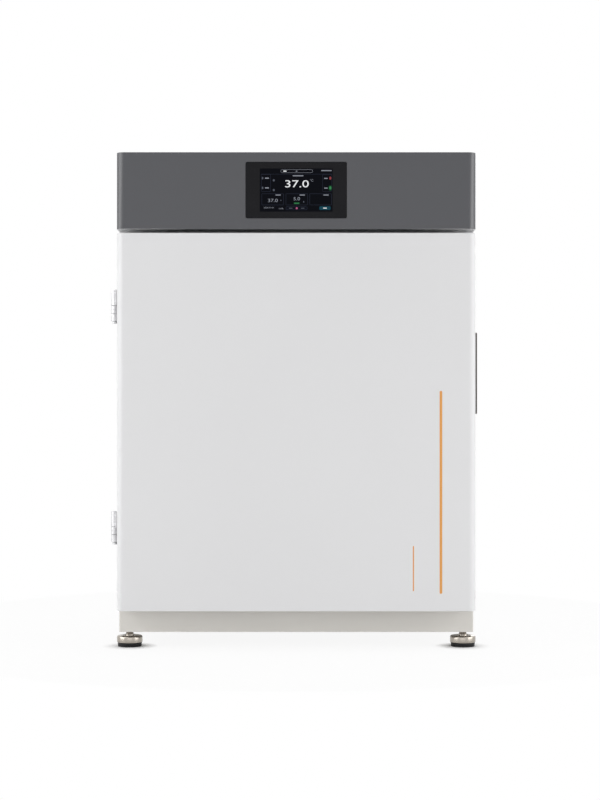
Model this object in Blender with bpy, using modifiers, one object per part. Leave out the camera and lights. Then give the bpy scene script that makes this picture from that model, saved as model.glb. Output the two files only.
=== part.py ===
"""Bench-top carbon dioxide incubator of the 80 litre class, with a touch panel in its header.

All lengths are in metres and +Z is up. The origin is on the floor under the middle of the
cabinet, and the doors are on the -Y side, hinged on the left.
"""

import math

import bmesh
import bpy
from mathutils import Matrix, Vector

# Sheet and fits
GAP = 0.0003  # left between two pieces that touch
STEEL = 0.0012  # painted sheet of the casing and the door
STAINLESS = 0.0010  # sheet of the chamber and its fittings
RUNNING_GAP = 0.0006  # round something that turns or slides

# Cabinet
SIDE_WALL = 0.075  # chamber to the outside of the cabinet
REAR_WALL = 0.110  # chamber to the rear of the cabinet, with the motor's space
CABINET_FRONT_Y = -0.250
CABINET_CORNER = 0.003
FOOT_LIFT = 0.024  # floor to the underside of the base
BASE_HEIGHT = 0.0369
BASE_FLOOR = 0.002
WRAP_LIP = 0.014  # inward lips at the open front of the wrap
TOP_LIP = 0.016  # down-turned lip of the top cover

# Door
DOOR_END_WALL = 0.049  # chamber ceiling or floor to the end of the door
DOOR_THICKNESS = 0.038
DOOR_STANDOFF = 0.007  # cabinet front to the rim of the closed door
DOOR_EDGE_RADIUS = 0.012
DOOR_LIP = 0.012  # return of the skin behind the foam
DOOR_RIM_MARGIN = 0.008  # skin edge to the edge of the inner panel
DOOR_DISH_DEPTH = 0.0155
DOOR_DISH_DRAFT = 0.0019375  # how far the dish narrows on each side down to its bottom
DISH_SIDE_ROOM = 0.036  # chamber side to the side of the door's dish
DISH_END_ROOM = 0.018
DOOR_DISH_RADIUS = 0.020
DOOR_GASKET_WIDTH = 0.014

# Grip on the free edge of the door
GRIP_HEIGHT = 0.125
GRIP_WIDTH = 0.024
GRIP_RISE = 0.0748  # middle of the door to the middle of the grip
GRIP_RECESS = 0.018
GRIP_RIM = 0.0045
GRIP_PROUD = 0.0024

# Header and touch panel
HEADER_GAP = 0.006
HEADER_HEIGHT = 0.1173
HEADER_WALL = 0.004
PANEL_WIDTH = 0.154
PANEL_HEIGHT = 0.0856
PANEL_RISE = 0.0594  # lower edge of the header to the middle of the panel
PANEL_THICKNESS = 0.0025
PANEL_PROUD = 0.0004
PANEL_CORNER = 0.002
SCREEN_WIDTH = 0.120
SCREEN_HEIGHT = 0.074
SCREEN_DEPTH = 0.009

# Chamber
CHAMBER_WIDTH = 0.400
CHAMBER_HEIGHT = 0.480
CHAMBER_DEPTH = 0.410  # cabinet front to the rear wall of the chamber
CHAMBER_CORNER = 0.020
CHAMBER_FLANGE = 0.018
REAR_INSULATION = 0.056

# Inner glass door
GLASS = 0.005
GLASS_OVERLAP = 0.010  # beyond the chamber opening on each side
GLASS_CORNER = 0.012
GLASS_SEAL = 0.004
GLASS_SEAL_WIDTH = 0.008
GLASS_SEAL_INSET = 0.001  # chamber opening to the seal
GLASS_PIN_RADIUS = 0.002
GLASS_BARREL_RADIUS = 0.0045
GLASS_BARREL_HEIGHT = 0.030
GLASS_HINGE_OFFSET = 0.009  # glass edge to the pin
GLASS_HINGE_FROM_END = 0.080
GLASS_EAR = 0.004
CLAMP_REACH = 0.036
CLAMP_PLATE = 0.0025
HINGE_FOOT_WIDTH = 0.0125
HINGE_FOOT_PLATE = 0.002

# Latch of the glass door
LATCH_INSET = 0.020  # glass edge to the knob
LATCH_KNOB_RADIUS = 0.013
LATCH_KNOB_HEIGHT = 0.006
LATCH_SHAFT_RADIUS = 0.004
LATCH_TONGUE = 0.032
LATCH_TONGUE_WIDTH = 0.010
LATCH_TONGUE_PLATE = 0.0025
LATCH_WASHER_RADIUS = 0.006
CATCH_HEIGHT = 0.024
CATCH_WALL = 0.002

# Shelves, their racks and the water pan
SHELF_COUNT = 3
SHELF_FIRST = 0.095  # chamber floor to the lowest shelf
SHELF_PITCH = 0.120
SHELF_REAR_ROOM = 0.055  # shelf to the rear wall of the chamber
SHELF_LIP = 0.010
SHELF_SIDE_CLEARANCE = 0.001
SHELF_LIP_CLEARANCE = 0.002
SHELF_SLOT_LENGTH = 0.048
SHELF_SLOT_WIDTH = 0.012
SHELF_SLOT_PITCH_X = 0.066
SHELF_SLOT_PITCH_Y = 0.034
SHELF_SLOT_MARGIN = 0.028
RUNNER_LEG = 0.014
RUNNER_OPENING = 0.006
RUNNER_WALL = 0.0015
RUNNER_OVERLAP = 0.0007  # how deep a runner is let into its uprights
UPRIGHT_WIDTH = 0.018
UPRIGHT_INSET = 0.070  # rack end to the middle of an upright
RACK_HEADROOM = 0.060  # top of the uprights to the chamber ceiling
SHELF_FRONT_SETBACK = 0.035  # cabinet front to the front edge of a shelf
PAN_SIDE_ROOM = 0.030
PAN_DEPTH = 0.300
PAN_HEIGHT = 0.034
PAN_RIM = 0.008
PAN_TAPER = 0.006
PAN_CORNER = 0.018

# Fan and air duct
FAN_DROP = 0.1352  # chamber ceiling to the shaft
FAN_RADIUS = 0.058
FAN_WIDTH = 0.020
FAN_BLADES = 11
FAN_BLADE = 0.0012
FAN_BLADE_SWEEP = 0.75  # radians that a blade leans back between eye and rim
FAN_BLADE_OVERLAP = 0.0034  # how far a blade reaches in past the eye
FAN_PLATE = 0.0012
FAN_EYE_RADIUS = 0.034
FAN_HUB_RADIUS = 0.011
FAN_SHAFT_RADIUS = 0.004
FAN_WALL_GAP = 0.006  # chamber rear wall to the wheel
MOTOR_RADIUS = 0.030
MOTOR_LENGTH = 0.040
MOTOR_CHAMFER = 0.003
MOTOR_BORE = 0.030
MOTOR_FLANGE_RADIUS = 0.042
MOTOR_FLANGE = 0.003
DUCT_WIDTH = 0.240
DUCT_END_ROOM = 0.040  # chamber ceiling or floor to the duct
DUCT_DEPTH = 0.034
DUCT_FOOT = 0.010
DUCT_SLOT_LENGTH = 0.060
DUCT_SLOT_WIDTH = 0.008
DUCT_SLOT_PITCH = 0.078
DUCT_INTAKE_WIDTH = 0.0054
DUCT_INTAKES = 10

# Door hinges, as lift-off hinges with a fixed pin
HINGE_AXIS_OFFSET = 0.006  # cabinet side to the pin
HINGE_BARREL_RADIUS = 0.006
HINGE_PIN_RADIUS = 0.003
HINGE_LEAF = 0.0022
HINGE_LEAF_LENGTH = 0.030
HINGE_DROP = 0.133  # top of the door to the underside of the upper hinge
HINGE_RISE = 0.1029  # bottom of the door to the underside of the lower hinge
KNUCKLE_CABINET = 0.0115
KNUCKLE_COLLAR = 0.0121
KNUCKLE_DOOR = 0.0232
PIN_KNOB_RADIUS = 0.004
PIN_KNOB_HEIGHT = 0.0035

# Levelling feet
FOOT_RADIUS = 0.020
FOOT_CUP_HEIGHT = 0.0105
FOOT_CUP_EDGE = 0.00175  # rounding of the cup's upper rim, and rise of its shoulder
FOOT_SHOULDER_RADIUS = 0.009
FOOT_PAD_HEIGHT = 0.0062
FOOT_PAD_GROOVE = 0.0012
FOOT_PAD_RIB = 0.00124
FOOT_STUD_RADIUS = 0.006
FOOT_STUD_LENGTH = 0.024  # inside the base
FOOT_BOSS_RADIUS = 0.0105
FOOT_BOSS_HEIGHT = 0.014
FOOT_INSET_SIDE = 0.015  # cabinet side to the middle of a foot
FOOT_INSET_FRONT = 0.0185  # cabinet front to the middle of a front foot
FOOT_INSET_REAR = 0.035

# Rear side
SERVICE_SIDE_ROOM = 0.075  # cabinet side to the panel
SERVICE_END_ROOM = 0.020  # chamber ceiling or floor to the panel's end
SERVICE_OVERLAP = 0.015
SERVICE_CORNER = 0.008
LOUVRE_LENGTH = 0.110
LOUVRE_WIDTH = 0.005
LOUVRE_PITCH = 0.014
LOUVRE_ROWS = 8
LOUVRE_COLUMNS = 2
LOUVRE_COLUMN_PITCH = 0.150
LOUVRE_RISE = 0.0448  # lower end of the panel to the first louvre
PORT_SIDE_ROOM = 0.042  # chamber side to the middle of the port
PORT_DROP = 0.0702  # chamber ceiling to the middle of the port
PORT_RADIUS = 0.021
PORT_WALL = 0.0025
PORT_FLANGE_RADIUS = 0.029
PORT_FLANGE = 0.003
PLUG_HEAD_RADIUS = 0.025
PLUG_HEAD = 0.008
PLUG_DEPTH = 0.040
PLUG_TAPER = 0.0015
INLET_WIDTH = 0.060
INLET_HEIGHT = 0.048
INLET_DEPTH = 0.028
INLET_FLANGE = 0.005
INLET_PLATE = 0.003
INLET_INSET = 0.085  # cabinet side to the middle of the inlet
INLET_DROP = 0.0625  # top of the cabinet to the middle of the inlet
INLET_PIN = (0.004, 0.002)
INLET_PIN_SPREAD = (0.0026, 0.007)  # pins to the middle of the socket
SOCKET_WIDTH = 0.025
SOCKET_HEIGHT = 0.017
SOCKET_DEPTH = 0.016
SOCKET_INSET = 0.0075  # edge of the inlet's plate to the socket
SOCKET_CHAMFER = 0.00425
ROCKER_WIDTH = 0.012
ROCKER_HEIGHT = 0.023
ROCKER_DEPTH = 0.010
ROCKER_HEEL = (0.0020, 0.01035)  # pivot to the rear edges, inward and along the rocker
ROCKER_TILT = 12  # degrees either way from level
FITTING_INSET = 0.185
FITTING_DROP = 0.0625
FITTING_BARB_RADIUS = 0.0038
FITTING_BARB_STEP = 0.0009
FITTING_BARB_PITCH = 0.005
FITTING_BARBS = 3
FITTING_THREAD_LENGTH = 0.0105
FITTING_HEX_RADIUS = 0.0085
FITTING_THREAD_RADIUS = 0.005

# Electronics and gas pieces above the chamber
BOARD_WIDTH = 0.200
BOARD_DEPTH = 0.130
BOARD_THICKNESS = 0.0016
BOARD_STANDOFF = 0.010
BOARD_PILLAR_INSET = 0.008
BOARD_PILLAR_RADIUS = 0.004
BOARD_COMPONENT_WIDTH = 0.022
BOARD_COMPONENT_DEPTH = 0.032
BOARD_COMPONENT_HEIGHTS = (0.004, 0.0075, 0.011, 0.004)
BOARD_COMPONENT_PITCH = 0.0435
BOARD_COMPONENT_OFFSET = 0.0245  # middle of the board to each of the two rows
BOARD_INSET = 0.165  # cabinet side to the middle of the board
BOARD_SETBACK = 0.140  # cabinet front to the middle of the board
SUPPLY_SIZE = (0.100, 0.180, 0.045)
SUPPLY_SLOT = (0.070, 0.006)
SUPPLY_SLOTS = 7
SUPPLY_SLOT_PITCH = 0.020
SUPPLY_SLOT_DEPTH = 0.009
SUPPLY_INSET = 0.105
SUPPLY_SETBACK = 0.200
VALVE_X = 0.060
VALVE_FROM_REAR = 0.040  # rear wall of the chamber to the valve
VALVE_BLOCK = (0.036, 0.044, 0.030)
VALVE_COIL_RADIUS = 0.014
VALVE_COIL_HEIGHT = 0.032
NOZZLE_RADIUS = 0.004
NOZZLE_REACH = 0.014  # below the chamber ceiling
SENSOR_RADIUS = 0.010
SENSOR_REACH = 0.060
SENSOR_SIDE_ROOM = 0.060
PROBES_FROM_REAR = 0.110
PROBE_RADIUS = 0.003
PROBE_REACH = 0.075
PROBE_SIDE_ROOM = 0.100
DECK_FLANGE = 0.003
PROBE_TIP = 0.7  # the end of a probe as a share of its radius
HOSE_RADIUS = 0.0035

# Places that follow from the sizes above
CABINET_WIDTH = CHAMBER_WIDTH + 2 * SIDE_WALL
DOOR_HEIGHT = CHAMBER_HEIGHT + 2 * DOOR_END_WALL
DOOR_DISH_WIDTH = CHAMBER_WIDTH + 2 * DISH_SIDE_ROOM
DOOR_DISH_HEIGHT = CHAMBER_HEIGHT + 2 * DISH_END_ROOM
HALF_WIDTH = CABINET_WIDTH / 2
CABINET_REAR_Y = CABINET_FRONT_Y + CHAMBER_DEPTH + REAR_WALL
BASE_TOP_Z = FOOT_LIFT + BASE_HEIGHT
DOOR_Z = BASE_TOP_Z + GAP
DOOR_TOP_Z = DOOR_Z + DOOR_HEIGHT
HEADER_Z = DOOR_TOP_Z + HEADER_GAP
TOP_Z = HEADER_Z + HEADER_HEIGHT
DOOR_RIM_Y = CABINET_FRONT_Y - DOOR_STANDOFF
DOOR_FRONT_Y = DOOR_RIM_Y - DOOR_THICKNESS
SKIN_BACK_Y = DOOR_RIM_Y - STEEL - GAP
WRAP_FRONT_Y = CABINET_FRONT_Y + STEEL + GAP
DECK_TOP_Z = HEADER_Z
DECK_Z = DECK_TOP_Z - STEEL
DOOR_MID_Z = DOOR_Z + DOOR_HEIGHT / 2
CHAMBER_Z = DOOR_MID_Z - CHAMBER_HEIGHT / 2
CHAMBER_TOP_Z = CHAMBER_Z + CHAMBER_HEIGHT
CHAMBER_REAR_Y = CABINET_FRONT_Y + CHAMBER_DEPTH
FLANGE_Y = CABINET_FRONT_Y - GAP - STAINLESS
INSULATION_REAR_Y = CHAMBER_REAR_Y + REAR_INSULATION
GLASS_BACK_Y = FLANGE_Y - GAP - GLASS_SEAL - GAP
GLASS_FRONT_Y = GLASS_BACK_Y - GLASS
GLASS_HALF_WIDTH = CHAMBER_WIDTH / 2 + GLASS_OVERLAP
GLASS_HEIGHT = CHAMBER_HEIGHT + 2 * GLASS_OVERLAP
GLASS_AXIS = (-GLASS_HALF_WIDTH - GLASS_HINGE_OFFSET, (GLASS_BACK_Y + GLASS_FRONT_Y) / 2)
HINGE_AXIS = (-HALF_WIDTH - HINGE_AXIS_OFFSET, CABINET_FRONT_Y - DOOR_STANDOFF / 2)
KNOB_X = GLASS_HALF_WIDTH - LATCH_INSET
GRIP_MID_Z = DOOR_MID_Z + GRIP_RISE
PANEL_CENTRE_Z = HEADER_Z + PANEL_RISE
FAN_MID_Z = CHAMBER_TOP_Z - FAN_DROP
DUCT_HEIGHT = CHAMBER_HEIGHT - 2 * DUCT_END_ROOM
RACK_HEIGHT = CHAMBER_HEIGHT - CHAMBER_CORNER - RACK_HEADROOM
PAN_WIDTH = CHAMBER_WIDTH - 2 * PAN_SIDE_ROOM
SHELF_DEPTH = CHAMBER_DEPTH - SHELF_FRONT_SETBACK - SHELF_REAR_ROOM
FAN_BACK_Y = CHAMBER_REAR_Y - FAN_WALL_GAP
FAN_FRONT_Y = FAN_BACK_Y - FAN_WIDTH
SHELF_FRONT_Y = CABINET_FRONT_Y + SHELF_FRONT_SETBACK
SHELF_REAR_Y = SHELF_FRONT_Y + SHELF_DEPTH
FOOT_FRONT_Y = CABINET_FRONT_Y + FOOT_INSET_FRONT
FOOT_REAR_Y = CABINET_REAR_Y - FOOT_INSET_REAR
FOOT_X = HALF_WIDTH - FOOT_INSET_SIDE
SERVICE_WIDTH = CABINET_WIDTH - 2 * SERVICE_SIDE_ROOM
SERVICE_HEIGHT = CHAMBER_HEIGHT - 2 * SERVICE_END_ROOM
LOUVRE_FIRST_Z = DOOR_MID_Z - SERVICE_HEIGHT / 2 + LOUVRE_RISE
PORT_X = PORT_SIDE_ROOM - CHAMBER_WIDTH / 2
PORT_Z = CHAMBER_TOP_Z - PORT_DROP
INLET_X = HALF_WIDTH - INLET_INSET
INLET_Z = TOP_Z - INLET_DROP
FITTING_X = HALF_WIDTH - FITTING_INSET
FITTING_Z = TOP_Z - FITTING_DROP
BOARD_CENTRE = (BOARD_INSET - HALF_WIDTH, CABINET_FRONT_Y + BOARD_SETBACK)
SUPPLY_CENTRE = (HALF_WIDTH - SUPPLY_INSET, CABINET_FRONT_Y + SUPPLY_SETBACK)
VALVE_CENTRE = (VALVE_X, CHAMBER_REAR_Y - VALVE_FROM_REAR)
SENSOR_CENTRE = (SENSOR_SIDE_ROOM - CHAMBER_WIDTH / 2, CHAMBER_REAR_Y - PROBES_FROM_REAR)
PROBE_CENTRE = (PROBE_SIDE_ROOM - CHAMBER_WIDTH / 2, CHAMBER_REAR_Y - PROBES_FROM_REAR)

# Colour, roughness and metallic value of each finish
FINISHES = {
    "white_paint": ((0.82, 0.83, 0.84), 0.38, 0.0),
    "grey_paint": ((0.105, 0.105, 0.112), 0.42, 0.0),
    "stainless": ((0.60, 0.60, 0.59), 0.30, 1.0),
    "chrome": ((0.72, 0.72, 0.73), 0.14, 1.0),
    "hinge_metal": ((0.66, 0.66, 0.67), 0.35, 1.0),
    "black_glass": ((0.012, 0.012, 0.015), 0.10, 0.0),
    "clear_glass": ((0.80, 0.86, 0.84), 0.05, 0.0),
    "dark_plastic": ((0.110, 0.100, 0.095), 0.50, 0.0),
    "black_plastic": ((0.020, 0.020, 0.022), 0.45, 0.0),
    "rubber": ((0.030, 0.030, 0.032), 0.75, 0.0),
    "silicone": ((0.72, 0.73, 0.73), 0.60, 0.0),
    "gasket": ((0.34, 0.35, 0.36), 0.62, 0.0),
    "wool": ((0.70, 0.63, 0.42), 0.95, 0.0),
    "brass": ((0.62, 0.44, 0.18), 0.30, 1.0),
    "circuit_board": ((0.020, 0.160, 0.070), 0.55, 0.0),
}


def clear_scene():
    for obj in list(bpy.data.objects):
        bpy.data.objects.remove(obj, do_unlink=True)


def new_collection(name, hidden):
    collection = bpy.data.collections.new(name)
    bpy.context.scene.collection.children.link(collection)
    collection.hide_render = hidden
    return collection


def finish_material(finish):
    """The Principled BSDF of one finish, made once and shared."""
    found = bpy.data.materials.get(finish)
    if found:
        return found
    colour, roughness, metallic = FINISHES[finish]
    material = bpy.data.materials.new(finish)
    material.use_nodes = True
    shader = material.node_tree.nodes["Principled BSDF"]
    shader.inputs["Base Color"].default_value = (*colour, 1.0)
    shader.inputs["Roughness"].default_value = roughness
    shader.inputs["Metallic"].default_value = metallic
    material.diffuse_color = (*colour, 1.0)
    return material


def add_object(name, mesh, finish=None):
    """Links a mesh as a sub-part, or as a cutter where it has no finish."""
    obj = bpy.data.objects.new(name, mesh)
    if finish:
        PARTS.objects.link(obj)
        mesh.materials.append(finish_material(finish))
        mesh.shade_smooth()
        mesh.set_sharp_from_angle(angle=math.radians(30))
    else:
        CUTTERS.objects.link(obj)
        obj.hide_render = True
        obj.display_type = "WIRE"
    return obj


def rounded_rect(low, high, radius=0.0, steps=4):
    """Points of an upright rectangle with round corners, anticlockwise from the upper right."""
    count = steps if radius > 0 else 0
    points = []
    for corner, (right, top) in enumerate(((1, 1), (0, 1), (0, 0), (1, 0))):
        x = high[0] - radius if right else low[0] + radius
        y = high[1] - radius if top else low[1] + radius
        for step in range(count + 1):
            angle = math.pi / 2 * (corner + step / max(count, 1))
            points.append((x + radius * math.cos(angle), y + radius * math.sin(angle)))
    # The arcs of a slot's round end share a point
    return [point for i, point in enumerate(points) if math.dist(point, points[i - 1]) > 1e-9]


def centred_rect(centre, size, radius=0.0, steps=4):
    low = (centre[0] - size[0] / 2, centre[1] - size[1] / 2)
    high = (centre[0] + size[0] / 2, centre[1] + size[1] / 2)
    return rounded_rect(low, high, radius, steps)


def circle(centre, radius, steps=16):
    turn = 2 * math.pi / steps
    return [
        (centre[0] + radius * math.cos(turn * step), centre[1] + radius * math.sin(turn * step))
        for step in range(steps)
    ]


def hole(centre, radius, steps=16):
    """A round opening whose flats, not its corners, lie at the radius."""
    return circle(centre, radius / math.cos(math.pi / steps), steps)


def spun(outline, turn, about):
    """An outline given round its own origin, turned and then moved to a point."""
    return [
        (
            about[0] + u * math.cos(turn) - v * math.sin(turn),
            about[1] + u * math.sin(turn) + v * math.cos(turn),
        )
        for u, v in outline
    ]


def welded_mesh(name, obj):
    """The evaluated shape of a curve as a closed mesh, with its caps merged to its sides."""
    mesh = bpy.data.meshes.new_from_object(obj.evaluated_get(bpy.context.evaluated_depsgraph_get()))
    mesh.name = name
    mesh.transform(obj.matrix_world)
    shape = bmesh.new()
    shape.from_mesh(mesh)
    bmesh.ops.remove_doubles(shape, verts=shape.verts, dist=1e-6)
    bmesh.ops.recalc_face_normals(shape, faces=shape.faces)
    shape.to_mesh(mesh)
    shape.free()
    mesh.materials.clear()
    bpy.data.objects.remove(obj, do_unlink=True)
    return mesh


# Turns of a flat outline's own X, Y and Z onto the world's axes
PLANES = {
    "XY": (0.0, 0.0, 0.0),
    "XZ": (math.pi / 2, 0.0, 0.0),
    "YZ": (math.pi / 2, 0.0, math.pi / 2),
}


def plate(name, outlines, plane, start, end, finish=None):
    """Extrudes flat outlines, holes among them, from start to end along the plane's normal.

    The outlines are in world coordinates of their plane.
    """
    curve = bpy.data.curves.new(name, "CURVE")
    curve.dimensions = "2D"
    curve.fill_mode = "BOTH"
    curve.extrude = (end - start) / 2
    for outline in outlines:
        spline = curve.splines.new("POLY")
        spline.points.add(len(outline) - 1)
        for point, (u, v) in zip(spline.points, outline):
            point.co = (u, v, 0.0, 1.0)
        spline.use_cyclic_u = True
    obj = bpy.data.objects.new(name, curve)
    bpy.context.scene.collection.objects.link(obj)
    normal = {"XY": (0, 0, 1), "XZ": (0, 1, 0), "YZ": (1, 0, 0)}[plane]
    obj.location = Vector(normal) * (start + end) / 2
    obj.rotation_euler = PLANES[plane]
    bpy.context.view_layer.update()
    return add_object(name, welded_mesh(name, obj), finish)


def box(name, low, high, finish=None):
    """A square block between two corners."""
    size = Vector(high) - Vector(low)
    middle = (Vector(high) + Vector(low)) / 2
    shape = bmesh.new()
    bmesh.ops.create_cube(shape, size=1.0)
    bmesh.ops.scale(shape, vec=size, verts=shape.verts)
    bmesh.ops.translate(shape, vec=middle, verts=shape.verts)
    mesh = bpy.data.meshes.new(name)
    shape.to_mesh(mesh)
    shape.free()
    return add_object(name, mesh, finish)


def turned(name, profile, at, axis, finish=None, steps=16):
    """A profile of (radius, height) points turned round an axis through a point.

    The points run down the outer side. A profile that starts and ends on the axis gives a solid
    piece, and one that closes on itself gives a ring.
    """
    mesh = bpy.data.meshes.new(name)
    ring = profile[0][0] > 0
    count = len(profile)
    edges = [(i, (i + 1) % count) for i in range(count if ring else count - 1)]
    mesh.from_pydata([(radius, 0.0, height) for radius, height in profile], edges, [])
    obj = add_object(name, mesh, finish)
    screw = obj.modifiers.new("turn", "SCREW")
    screw.steps = steps
    screw.render_steps = steps
    screw.use_merge_vertices = True
    screw.merge_threshold = 0.00001
    screw.use_smooth_shade = False
    obj.location = at
    obj.rotation_euler = {"Z": (0, 0, 0), "Y": (-math.pi / 2, 0, 0), "X": (0, math.pi / 2, 0)}[axis]
    return obj


def rod(radius, start, end):
    """The profile of a plain cylinder between two heights."""
    return [(0.0, end), (radius, end), (radius, start), (0.0, start)]


def drum(name, radius, at, axis, start, end, finish=None, steps=16):
    """A plain cylinder along an axis, from start to end past its point."""
    return turned(name, rod(radius, start, end), at, axis, finish, steps)


def bore(name, radius, at, axis, start, end, steps=16):
    """The cutter of a round bore, its flats at the radius."""
    return drum(name, radius / math.cos(math.pi / steps), at, axis, start, end, steps=steps)


def shell(name, loops, wall, finish):
    """Sheet that runs through a row of loops and closes over the last one.

    The loops turn anticlockwise as seen from the side that the sheet's face looks to, and the
    wall's thickness lies behind that face.
    """
    shape = bmesh.new()
    rings = [[shape.verts.new(point) for point in loop] for loop in loops]
    for outer, inner in zip(rings, rings[1:]):
        for i, vert in enumerate(outer):
            after = (i + 1) % len(outer)
            shape.faces.new((vert, outer[after], inner[after], inner[i]))
    shape.faces.new(rings[-1])
    mesh = bpy.data.meshes.new(name)
    shape.to_mesh(mesh)
    shape.free()
    obj = add_object(name, mesh, finish)
    sheet = obj.modifiers.new("sheet", "SOLIDIFY")
    sheet.thickness = wall
    sheet.offset = -1.0
    sheet.use_even_offset = True
    return obj


def combine(obj, tools, operation):
    for tool in tools:
        step = obj.modifiers.new(operation.lower(), "BOOLEAN")
        step.operation = operation
        step.solver = "EXACT"
        step.object = tool
    return obj


def cut(obj, *cutters):
    return combine(obj, cutters, "DIFFERENCE")


def join(obj, *pieces):
    return combine(obj, pieces, "UNION")


def on_axis(name, at, pieces):
    """Hangs moving pieces on an empty that stands on their joint's axis."""
    pivot = bpy.data.objects.new(name, None)
    PARTS.objects.link(pivot)
    pivot.location = at
    for piece in pieces:
        piece.parent = pivot
        piece.matrix_parent_inverse = Matrix.Translation(-Vector(at))
    return pivot


def cabinet_outline(inset, front=WRAP_FRONT_Y):
    """The cabinet's plan, moved in from its outer faces."""
    low = (inset - HALF_WIDTH, front + inset)
    high = (HALF_WIDTH - inset, CABINET_REAR_Y - inset)
    return rounded_rect(low, high, max(CABINET_CORNER - inset, 0.0), 2)


def make_base_pan():
    """The tray that carries the cabinet, with a nut for each levelling foot."""
    rim = [cabinet_outline(0.0, CABINET_FRONT_Y), cabinet_outline(STEEL, CABINET_FRONT_Y)]
    lip = [rim[0], cabinet_outline(WRAP_LIP, CABINET_FRONT_Y)]
    pan = plate("base_pan", rim[:1], "XY", FOOT_LIFT, FOOT_LIFT + BASE_FLOOR, "white_paint")
    join(pan, plate("base_wall", rim, "XY", FOOT_LIFT, BASE_TOP_Z))
    join(pan, plate("base_lip", lip, "XY", BASE_TOP_Z - STEEL, BASE_TOP_Z))
    for name, at in foot_places():
        boss = FOOT_LIFT + FOOT_BOSS_HEIGHT
        join(pan, drum("nut_" + name, FOOT_BOSS_RADIUS, at, "Z", FOOT_LIFT, boss, steps=12))
        thread = FOOT_STUD_RADIUS + GAP
        cut(pan, bore("bore_" + name, thread, at, "Z", 0.0, BASE_TOP_Z))
    return pan


def make_cabinet_wrap():
    """One bent sheet: both sides, the back, and a lip down each side of the open front."""
    top = TOP_Z - STEEL - GAP
    walls = [cabinet_outline(0.0), cabinet_outline(STEEL)]
    wrap = plate("cabinet_wrap", walls, "XY", BASE_TOP_Z + GAP, top, "white_paint")
    half = HALF_WIDTH - WRAP_LIP
    opening = ((-half, WRAP_FRONT_Y - STEEL, 0.0), (half, WRAP_FRONT_Y + WRAP_LIP, TOP_Z))
    cut(wrap, box("front_opening", *opening))
    rear = (CABINET_REAR_Y - WRAP_LIP, CABINET_REAR_Y + WRAP_LIP)
    window = centred_rect(
        (0.0, DOOR_MID_Z),
        (SERVICE_WIDTH - 2 * SERVICE_OVERLAP, SERVICE_HEIGHT - 2 * SERVICE_OVERLAP),
        SERVICE_CORNER,
    )
    cut(wrap, plate("service_window", [window], "XZ", *rear))
    inlet = (INLET_WIDTH - 2 * INLET_FLANGE + 2 * GAP, INLET_HEIGHT - 2 * INLET_FLANGE + 2 * GAP)
    cut(wrap, plate("inlet_window", [centred_rect((INLET_X, INLET_Z), inlet)], "XZ", *rear))
    thread = hole((FITTING_X, FITTING_Z), FITTING_THREAD_RADIUS + GAP)
    cut(wrap, plate("fitting_hole", [thread], "XZ", *rear))
    return wrap


def make_top_cover():
    """A lid that lies on the wrap, with a lip turned down inside it."""
    lid = plate("top_cover", [cabinet_outline(0.0)], "XY", TOP_Z - STEEL, TOP_Z, "white_paint")
    inset = STEEL + GAP
    lip = [cabinet_outline(inset), cabinet_outline(inset + STEEL)]
    return join(lid, plate("top_lip", lip, "XY", TOP_Z - TOP_LIP, TOP_Z - STEEL / 2))


def make_front_frame():
    """The flat face round the chamber, on which the door's magnetic gasket closes."""
    face = rounded_rect((-HALF_WIDTH, DOOR_Z), (HALF_WIDTH, HEADER_Z - GAP))
    around = 2 * (STAINLESS + GAP)
    opening = centred_rect(
        (0.0, DOOR_MID_Z),
        (CHAMBER_WIDTH + around, CHAMBER_HEIGHT + around),
        CHAMBER_CORNER + around / 2,
    )
    back = CABINET_FRONT_Y + STEEL
    return plate("front_frame", [face, opening], "XZ", CABINET_FRONT_Y, back, "white_paint")


def deck_holes(extra):
    """What passes from the deck down into the chamber: place and radius of each hole."""
    return (
        ("sensor", SENSOR_CENTRE, SENSOR_RADIUS + extra),
        ("probe", PROBE_CENTRE, PROBE_RADIUS + extra),
        ("nozzle", VALVE_CENTRE, NOZZLE_RADIUS + extra),
    )


def make_electronics_deck():
    """The sheet between the insulation and the electronics, inside the wrap."""
    outlines = [cabinet_outline(STEEL + GAP)]
    outlines += [hole(centre, radius) for _, centre, radius in deck_holes(GAP)]
    return plate("electronics_deck", outlines, "XY", DECK_Z, DECK_TOP_Z, "stainless")


def make_insulation():
    """Mineral wool round the chamber, open to the front, with the ways that pass through it."""
    front = WRAP_FRONT_Y + STEEL + GAP
    half = HALF_WIDTH - STEEL - GAP
    outline = rounded_rect((-half, front), (half, INSULATION_REAR_Y), CABINET_CORNER, 2)
    block = plate("insulation", [outline], "XY", BASE_TOP_Z + GAP, DECK_Z - GAP, "wool")
    around = 2 * (STAINLESS + GAP)
    inside = centred_rect(
        (0.0, DOOR_MID_Z),
        (CHAMBER_WIDTH + around, CHAMBER_HEIGHT + around),
        CHAMBER_CORNER + around / 2,
    )
    depth = CHAMBER_REAR_Y + around / 2
    cut(block, plate("chamber_space", [inside], "XZ", front - WRAP_LIP, depth))
    rear = (CHAMBER_REAR_Y - WRAP_LIP, INSULATION_REAR_Y + WRAP_LIP)
    shaft = hole((0.0, FAN_MID_Z), FAN_SHAFT_RADIUS + RUNNING_GAP)
    port = hole((PORT_X, PORT_Z), PORT_RADIUS + GAP, 20)
    cut(block, plate("rear_ways", [shaft, port], "XZ", *rear))
    ways = [hole(centre, radius) for _, centre, radius in deck_holes(GAP)]
    cut(block, plate("deck_ways", ways, "XY", CHAMBER_TOP_Z - WRAP_LIP, DECK_TOP_Z))
    return block


def xz_loop(centre, size, radius, y, steps=4):
    """A loop of corner points that faces -Y."""
    return [(u, y, v) for u, v in centred_rect(centre, size, radius, steps)]


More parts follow.
